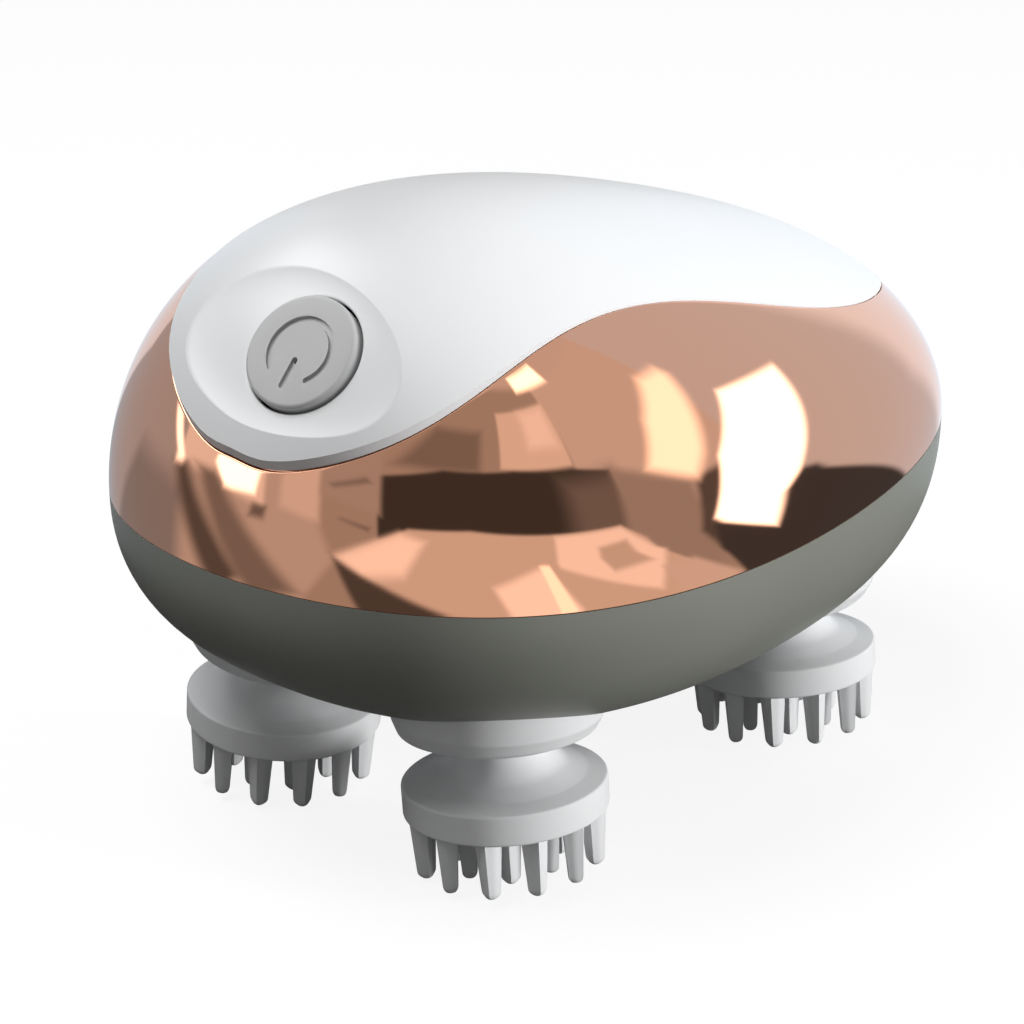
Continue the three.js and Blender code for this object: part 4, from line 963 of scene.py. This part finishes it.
# %% Finishes outside
plating = finish("rose_gold_plating", from_screen(246, 184, 152), 0.035, metallic=1)
vary(plating, "Roughness", 0.025, 0.05, 9 * MM)
grain(plating, 14 * MM, 0.0006 * MM)

cover_white = finish("cover_plastic", from_screen(238, 239, 240), 0.34)
tint(cover_white, from_screen(237, 238, 239), from_screen(240, 241, 242), 30 * MM)
vary(cover_white, "Roughness", 0.31, 0.38, 12 * MM)
grain(cover_white, 0.5 * MM, 0.0008 * MM)

button_grey = finish("button_plastic", from_screen(193, 193, 194), 0.42)
tint(button_grey, from_screen(190, 190, 191), from_screen(196, 196, 197), 6 * MM)
vary(button_grey, "Roughness", 0.38, 0.48, 3 * MM)
grain(button_grey, 0.25 * MM, 0.002 * MM)

bowl_grey = finish("bowl_plastic", from_screen(130, 132, 124), 0.45)
tint(bowl_grey, from_screen(128, 130, 122), from_screen(132, 134, 126), 18 * MM)
vary(bowl_grey, "Roughness", 0.38, 0.46, 8 * MM)
grain(bowl_grey, 0.3 * MM, 0.0015 * MM)

silicone = finish("silicone", from_screen(236, 237, 238), 0.5, specular=0.4)
cloudy = silicone.node_tree.nodes["Principled BSDF"].inputs
cloudy["Subsurface Weight"].default_value = 0.06
cloudy["Subsurface Radius"].default_value = (1, 0.9, 0.85)
cloudy["Subsurface Scale"].default_value = 1 * MM
tint(silicone, from_screen(234, 235, 236), from_screen(238, 239, 240), 5 * MM)
vary(silicone, "Roughness", 0.46, 0.58, 3 * MM)
grain(silicone, 0.6 * MM, 0.004 * MM)

# %% [markdown]
# ## Finishes inside
# The gears, the motor and the screws are out of sight until the brush is opened, but they keep
# the shapes of the construction and get their own finishes: milky nylon, turned steel and
# bronze, glass filled plastic, a green circuit board and a wrapped cell.

# %% Finishes inside
seal_rubber = finish("seal_rubber", from_screen(42, 42, 44), 0.75)
grain(seal_rubber, 0.4 * MM, 0.01 * MM)
frame_plastic = finish("frame_plastic", from_screen(66, 68, 71), 0.55)
tint(frame_plastic, from_screen(62, 64, 67), from_screen(71, 73, 76), 5 * MM)
grain(frame_plastic, 0.3 * MM, 0.006 * MM)
nylon = finish("gear_plastic", from_screen(233, 228, 214), 0.45)
tint(nylon, from_screen(230, 225, 210), from_screen(237, 233, 221), 6 * MM)
vary(nylon, "Roughness", 0.4, 0.52, 2 * MM)
steel = finish("steel", from_screen(190, 192, 195), 0.28, metallic=1)
vary(steel, "Roughness", 0.2, 0.36, 0.8 * MM)
bronze = finish("bronze", from_screen(186, 148, 92), 0.38, metallic=1)
vary(bronze, "Roughness", 0.3, 0.46, 1.2 * MM)
black_plastic = finish("black_plastic", from_screen(38, 39, 41), 0.5)
vary(black_plastic, "Roughness", 0.42, 0.56, 1 * MM)
grain(black_plastic, 0.25 * MM, 0.003 * MM)
circuit_board = finish("circuit_board", from_screen(31, 107, 67), 0.4, coat=0.4)
tint(circuit_board, from_screen(26, 96, 60), from_screen(38, 118, 76), 1.5 * MM)
battery_wrap = finish("battery_wrap", from_screen(63, 111, 168), 0.35, coat=0.5)
vary(battery_wrap, "Roughness", 0.3, 0.42, 4 * MM)
contact_gold = finish("contact_gold", from_screen(228, 187, 98), 0.2, metallic=1)
vary(contact_gold, "Roughness", 0.15, 0.3, 0.7 * MM)
slot_of = {part["node"]: part["material_slot"] for part in frame["record"]["subparts"]}
for node, piece in frame["nodes"].items():
    piece.data.materials.clear()
    piece.data.materials.append(finishes[slot_of[node]])
own = {plated_dome: plating, bowl_shell: bowl_grey, white_cover: cover_white, button_cap: button_grey}
for piece in bpy.data.objects:
    if piece.name.startswith(("boot_skin_", "kneading_pad_")):
        own[piece] = silicone
for piece, material in own.items():
    piece.data.materials.clear()
    piece.data.materials.append(material)
print("finishes:", len(finishes), "on", len(slot_of), "nodes and", len(own), "fine pieces")

# %% [markdown]
# ## Floor, world and lamps
# The world is white to the camera and in reflections, and it lights the brush at a plain level.
# It could be one number, but then a white background would also flood the brush with light, so a
# mask tells the rays that see it from those that only carry light.

# %% World
WORLD_LIGHT = 0.2
SEEN_RAYS = ("Is Camera Ray", "Is Glossy Ray", "Is Transmission Ray")


def seen_mask(nodes, links):
    """1 for rays that see the background: from the camera, off gloss and through glass."""
    path = nodes.new("ShaderNodeLightPath")
    total = path.outputs[SEEN_RAYS[0]]
    for name in SEEN_RAYS[1:]:
        either = nodes.new("ShaderNodeMath")
        either.operation = "MAXIMUM"
        links.new(total, either.inputs[0])
        links.new(path.outputs[name], either.inputs[1])
        total = either.outputs[0]
    return total


world = bpy.data.worlds.new("white_world")
bpy.context.scene.world = world
world.use_nodes = True
world_nodes, world_links = world.node_tree.nodes, world.node_tree.links
background = world_nodes["Background"]
background.inputs["Color"].default_value = (1, 1, 1, 1)
strength = world_nodes.new("ShaderNodeMapRange")
strength.inputs["To Min"].default_value = WORLD_LIGHT
strength.inputs["To Max"].default_value = 1
world_links.new(seen_mask(world_nodes, world_links), strength.inputs["Value"])
world_links.new(strength.outputs["Result"], background.inputs["Strength"])
print("world lights at", WORLD_LIGHT, "and shows at 1")

# %% [markdown]
# The brush stands on a plain floor that looks white. Its paint is grey, so that it sends little
# light up under the brush, and the same mask adds a light of its own where it is seen. So it comes
# out white and still keeps the shadow of the brush.

# %% Floor
FLOOR_GREY = 0.16
FLOOR_OWN_LIGHT = 0.88
FLOOR_HALF = 0.8
floor_points = [(-FLOOR_HALF, -FLOOR_HALF, 0), (FLOOR_HALF, -FLOOR_HALF, 0),
                (FLOOR_HALF, FLOOR_HALF, 0), (-FLOOR_HALF, FLOOR_HALF, 0)]
floor_mesh = bpy.data.meshes.new("floor")
floor_mesh.from_pydata(floor_points, [], [(0, 1, 2, 3)])
floor = put_in_scene("floor", floor_mesh)
floor_paint = bpy.data.materials.new("floor_white")
floor_paint.use_nodes = True
floor_nodes, floor_links = floor_paint.node_tree.nodes, floor_paint.node_tree.links
floor_nodes.clear()
matt = floor_nodes.new("ShaderNodeBsdfDiffuse")
matt.inputs["Color"].default_value = (FLOOR_GREY, FLOOR_GREY, FLOOR_GREY, 1)
glow = floor_nodes.new("ShaderNodeEmission")
glow_strength = floor_nodes.new("ShaderNodeMath")
glow_strength.operation = "MULTIPLY"
glow_strength.inputs[1].default_value = FLOOR_OWN_LIGHT
floor_links.new(seen_mask(floor_nodes, floor_links), glow_strength.inputs[0])
floor_links.new(glow_strength.outputs[0], glow.inputs["Strength"])
both = floor_nodes.new("ShaderNodeAddShader")
out = floor_nodes.new("ShaderNodeOutputMaterial")
floor_links.new(matt.outputs[0], both.inputs[0])
floor_links.new(glow.outputs[0], both.inputs[1])
floor_links.new(both.outputs[0], out.inputs["Surface"])
floor_mesh.materials.append(floor_paint)
bpy.context.scene.view_settings.view_transform = "Standard"
print("floor:", 2 * FLOOR_HALF, "m wide")

# %% [markdown]
# Three soft lamps stand round the brush. The large one hangs overhead and fills the white cover.
# The other two stand on the right, one of them low, so that it reaches under the egg: it lights
# the heads from one side, and their left sides fall into grey. Reflections don't show the lamps,
# because the cards further down take their place there.

# %% Lamps
LAMP_DISTANCE = 1.2


def soft_lamp(name, azimuth, elevation, size, power):
    lamp_data = bpy.data.lights.new(name, "AREA")
    lamp_data.shape = "DISK"
    lamp_data.size = size
    lamp_data.energy = power
    lamp = put_in_scene(name, lamp_data)
    way = Vector(toward(math.radians(azimuth), math.radians(elevation)).tolist())
    lamp.location = egg_middle + way * LAMP_DISTANCE
    lamp.rotation_euler = way.to_track_quat("Z", "Y").to_euler()
    lamp.visible_glossy = False


soft_lamp("lamp_top", 155, 69, 0.8, 9)
soft_lamp("lamp_right", -15, 35, 0.5, 0.5)
soft_lamp("lamp_low", -66, 6, 0.3, 12.6)
print("lamps:", len(bpy.data.lights))

# %% [markdown]
# ## What the plating reflects
# A mirror shows its surroundings, so its look is made by what stands round it. Photographers
# use cards for this: bright ones for highlights, dark ones for depth. Each card could be an
# object of its own, but hard seams would show where two overlap. So one shell stands round the
# brush, a disc on the floor and a dome over it, and the cards are painted on it with soft edges.
# It shows only in reflections: matt surfaces get no light from it, and it hides nothing from the
# camera, so the background stays white.

# %% Reflection shell
SHELL_RADIUS = 1.6
SHELL_LIFT = 0.3 * MM
SHELL_LIGHT = 0.5
SHELL_COLUMNS = 720
SHELL_ROWS = 340
SHELL_LOWEST = -89
azimuth, elevation = np.meshgrid(np.linspace(-180, 180, SHELL_COLUMNS, endpoint=False),
                                 np.linspace(SHELL_LOWEST, 90, SHELL_ROWS), indexing="ij")
shell_way = toward(np.radians(azimuth), np.radians(elevation))
floor_reach = (seam - SHELL_LIFT) / np.maximum(1e-6, -shell_way[..., 2])
shell_points = shell_way * np.minimum(SHELL_RADIUS, floor_reach)[..., None] + np.array(egg_middle)
shell_paint = np.full(azimuth.shape + (3,), SHELL_LIGHT)


def hang(light, tone, soft, *corners):
    """Paints a card on the shell. Its corners are directions in degrees, soft is its edge."""
    shape = np.array(corners, float)
    following = np.roll(shape, -1, 0)
    middle = shape[:, 0].mean()
    across = (azimuth - middle + 180) % 360 - 180 + middle
    area = np.sum(shape[:, 0] * following[:, 1] - following[:, 0] * shape[:, 1])
    inside = np.full(azimuth.shape, np.inf)
    for (a, b), (c, d) in zip(shape, following):
        gap = ((c - a) * (elevation - b) - (d - b) * (across - a)) / math.hypot(c - a, d - b)
        inside = np.minimum(inside, gap * np.sign(area))
    share = np.clip(inside / soft + 0.5, 0, 1)
    share = (share * share * (3 - 2 * share))[..., None]
    shell_paint[:] = shell_paint * (1 - share) + light * np.array(tone) * share


# %% [markdown]
# The cards are hung from the large to the small: wide panels first, then the dark band and the
# pale card low in front, and the small bright cards last. Where each one belongs was read off
# the photograph, by working out which way every spot of the plating looks, and its corners and
# level were then typed and tuned for that one view. From other sides the cards only
# have to give the plating some life.

# %% Reflection cards
PLAIN = (1, 1, 1)
CREAM = (1, 0.98, 0.94)
WARM = (1, 0.96, 0.88)
COOL = (0.93, 1.05, 1.18)
# A dark disc on the floor round the brush.
hang(0.05, PLAIN, 6, (-260, -100), (260, -100), (260, -19), (-260, -19))
# Wide panels.
hang(0.38, CREAM, 8, (-195, -20), (-195, 62), (-60, 75), (-60, -20))
hang(0.62, PLAIN, 2, (-97, 8), (-95, 75), (-20, 75), (-20, 8))
hang(0.6, PLAIN, 4, (-170, 53), (-120, 56), (-60, 56), (-20, 54), (-20, 85), (-170, 85))
hang(0.21, CREAM, 5, (-168, 25), (-136, 29), (-132, 43), (-152, 42))
hang(0.76, CREAM, 1.5, (-127, 31), (-97, 31), (-95, 52), (-122, 50))
hang(0.95, PLAIN, 5, (-112, 38), (-99, 38), (-97, 51), (-110, 50))
hang(0.64, COOL, 1.5, (-42, -20), (-42, 62), (60, 85), (60, -20))
hang(0.95, COOL, 8, (2, -20), (2, 50), (34, 50), (34, -20))
hang(0.34, PLAIN, 8, (34, -20), (34, 80), (70, 80), (70, -20))
# The dark band, and the pale card under it with its own lights and shades.
hang(0.05, PLAIN, 1.5, (-173, 1), (-173, 19.5), (-150, 27.5), (-122, 30.5), (-98, 30), (-84, 27), (-84, 1))
hang(0.17, PLAIN, 12, (-104, 1), (-104, 26), (-84, 26), (-76, 1))
hang(0.34, PLAIN, 5, (-86, 1), (-84, 27), (-76, 24), (-60, 15), (-60, -4), (-74, -20), (-80, -20))
hang(0.1, PLAIN, 3, (-63, -4), (-59, 15), (-50, 15), (-50, -12), (-64, -9))
hang(0.055, COOL, 2, (-64, -8), (-58, -1), (-36, 3.5), (-30, 1), (-15, -20), (-66, -20))
hang(0.67, CREAM, 1.5, (-184, -6), (-163, 6), (-142, 9), (-88, 8.5), (-80, 2.5), (-66, -20), (-150, -14.5))
hang(1.1, PLAIN, 4, (-184, -6), (-166, 4), (-158, 3), (-164, -7), (-176, -9))
hang(1.15, PLAIN, 3, (-132, -20), (-137, -8), (-117, -2), (-112, -20))
hang(1.05, PLAIN, 2.5, (-112, 8), (-88, 8), (-76, -3), (-88, -14), (-112, -3))
hang(0.62, CREAM, 2.5, (-97, 2.5), (-87, 3.5), (-82, -5), (-96, -6))
hang(1.7, WARM, 1.2, (-119, -2), (-115.5, -2), (-115, -15), (-120, -15))
hang(0.68, PLAIN, 3, (-82, -8), (-72, -8), (-64, -20), (-84, -20))
# The left side, with two small bright cards and a few slanted dark strips.
hang(0.52, PLAIN, 3, (150, -20), (150, 60), (188, 60), (188, 15), (176, -7), (192, -20))
hang(0.68, PLAIN, 3, (157, 0), (157, 60), (169, 60), (169, 0))
hang(0.4, PLAIN, 3, (169, 8), (169, 60), (188, 60), (188, 8))
hang(0.08, PLAIN, 1.5, (175, -6), (208, -14.5), (205, -20), (192, -20))
hang(0.22, PLAIN, 2, (171.5, 11.5), (173, 11), (185, 16.5), (183, 17.5))
hang(0.22, PLAIN, 1.5, (175, 3), (184, 2), (185, 3.5), (176, 3.5))
hang(0.42, COOL, 5, (60, -20), (60, 60), (112, 60), (125, -20))
hang(0.26, COOL, 6, (104, -20), (104, -5), (128, -5), (140, -20))
hang(0.8, COOL, 2, (55, -20), (55, 60), (77, 60), (77, 5), (103, -20))
hang(0.85, PLAIN, 2, (120, -2), (120, 60), (152, 60), (152, -2))
hang(3, PLAIN, 2, (134, 2), (139, -2), (149, 0), (151, 10), (136, 9))
hang(2.4, PLAIN, 1.5, (111, 6), (115, 6), (123, -3), (120, -3))
hang(0.1, PLAIN, 3, (120, -3), (124, -2), (155, -14), (150, -18))
hang(0.2, PLAIN, 3, (127, -1), (134, 0), (170, -14), (160, -17))
hang(0.16, PLAIN, 2, (149, -2), (153, -1.5), (154, -4), (150, -4.5))
# A soft light high on the left, for the gloss of the cover.
hang(6, PLAIN, 14, (72, 36), (72, 68), (142, 68), (142, 36))
# The bright cards on the right.
hang(1.9, WARM, 5, (-71, 23), (-60, 35), (-46, 43), (-37, 41), (-36, 34), (-52, 20), (-57, 14))
hang(3.2, PLAIN, 2.2, (-49, 17), (-33, 28.5), (-17, 22.5), (-24, 14), (-34, 2), (-49, -8.5), (-58, 1))
hang(3, WARM, 3, (-104, 57), (-82, 58), (-82, 64), (-104, 62))

# %% [markdown]
# The painted light goes into the shell's mesh as a colour at each point, and its material glows
# with that colour.

# %% Shell mesh
shell_faces = net_faces(SHELL_COLUMNS, SHELL_ROWS)
shell_mesh = bpy.data.meshes.new("reflection_shell")
shell_mesh.from_pydata(shell_points.reshape(-1, 3).tolist(), [], shell_faces)
glow_values = np.ones((SHELL_COLUMNS * SHELL_ROWS, 4), np.float32)
glow_values[:, :3] = shell_paint.reshape(-1, 3)
card_light = shell_mesh.attributes.new("card_light", "FLOAT_COLOR", "POINT")
card_light.data.foreach_set("color", glow_values.reshape(-1))
shell = put_in_scene("reflection_shell", shell_mesh)
shell.visible_camera = False
shell.visible_diffuse = False
shell.visible_transmission = False
shell.visible_shadow = False
card_paint = bpy.data.materials.new("card_paint")
card_paint.use_nodes = True
card_nodes, card_links = card_paint.node_tree.nodes, card_paint.node_tree.links
card_nodes.clear()
card_value = card_nodes.new("ShaderNodeAttribute")
card_value.attribute_name = "card_light"
card_glow = card_nodes.new("ShaderNodeEmission")
card_out = card_nodes.new("ShaderNodeOutputMaterial")
card_links.new(card_value.outputs["Color"], card_glow.inputs["Color"])
card_links.new(card_glow.outputs[0], card_out.inputs["Surface"])
shell_mesh.materials.append(card_paint)
print("shell:", len(shell_faces), "faces, brightest card", round(float(shell_paint.max()), 2))
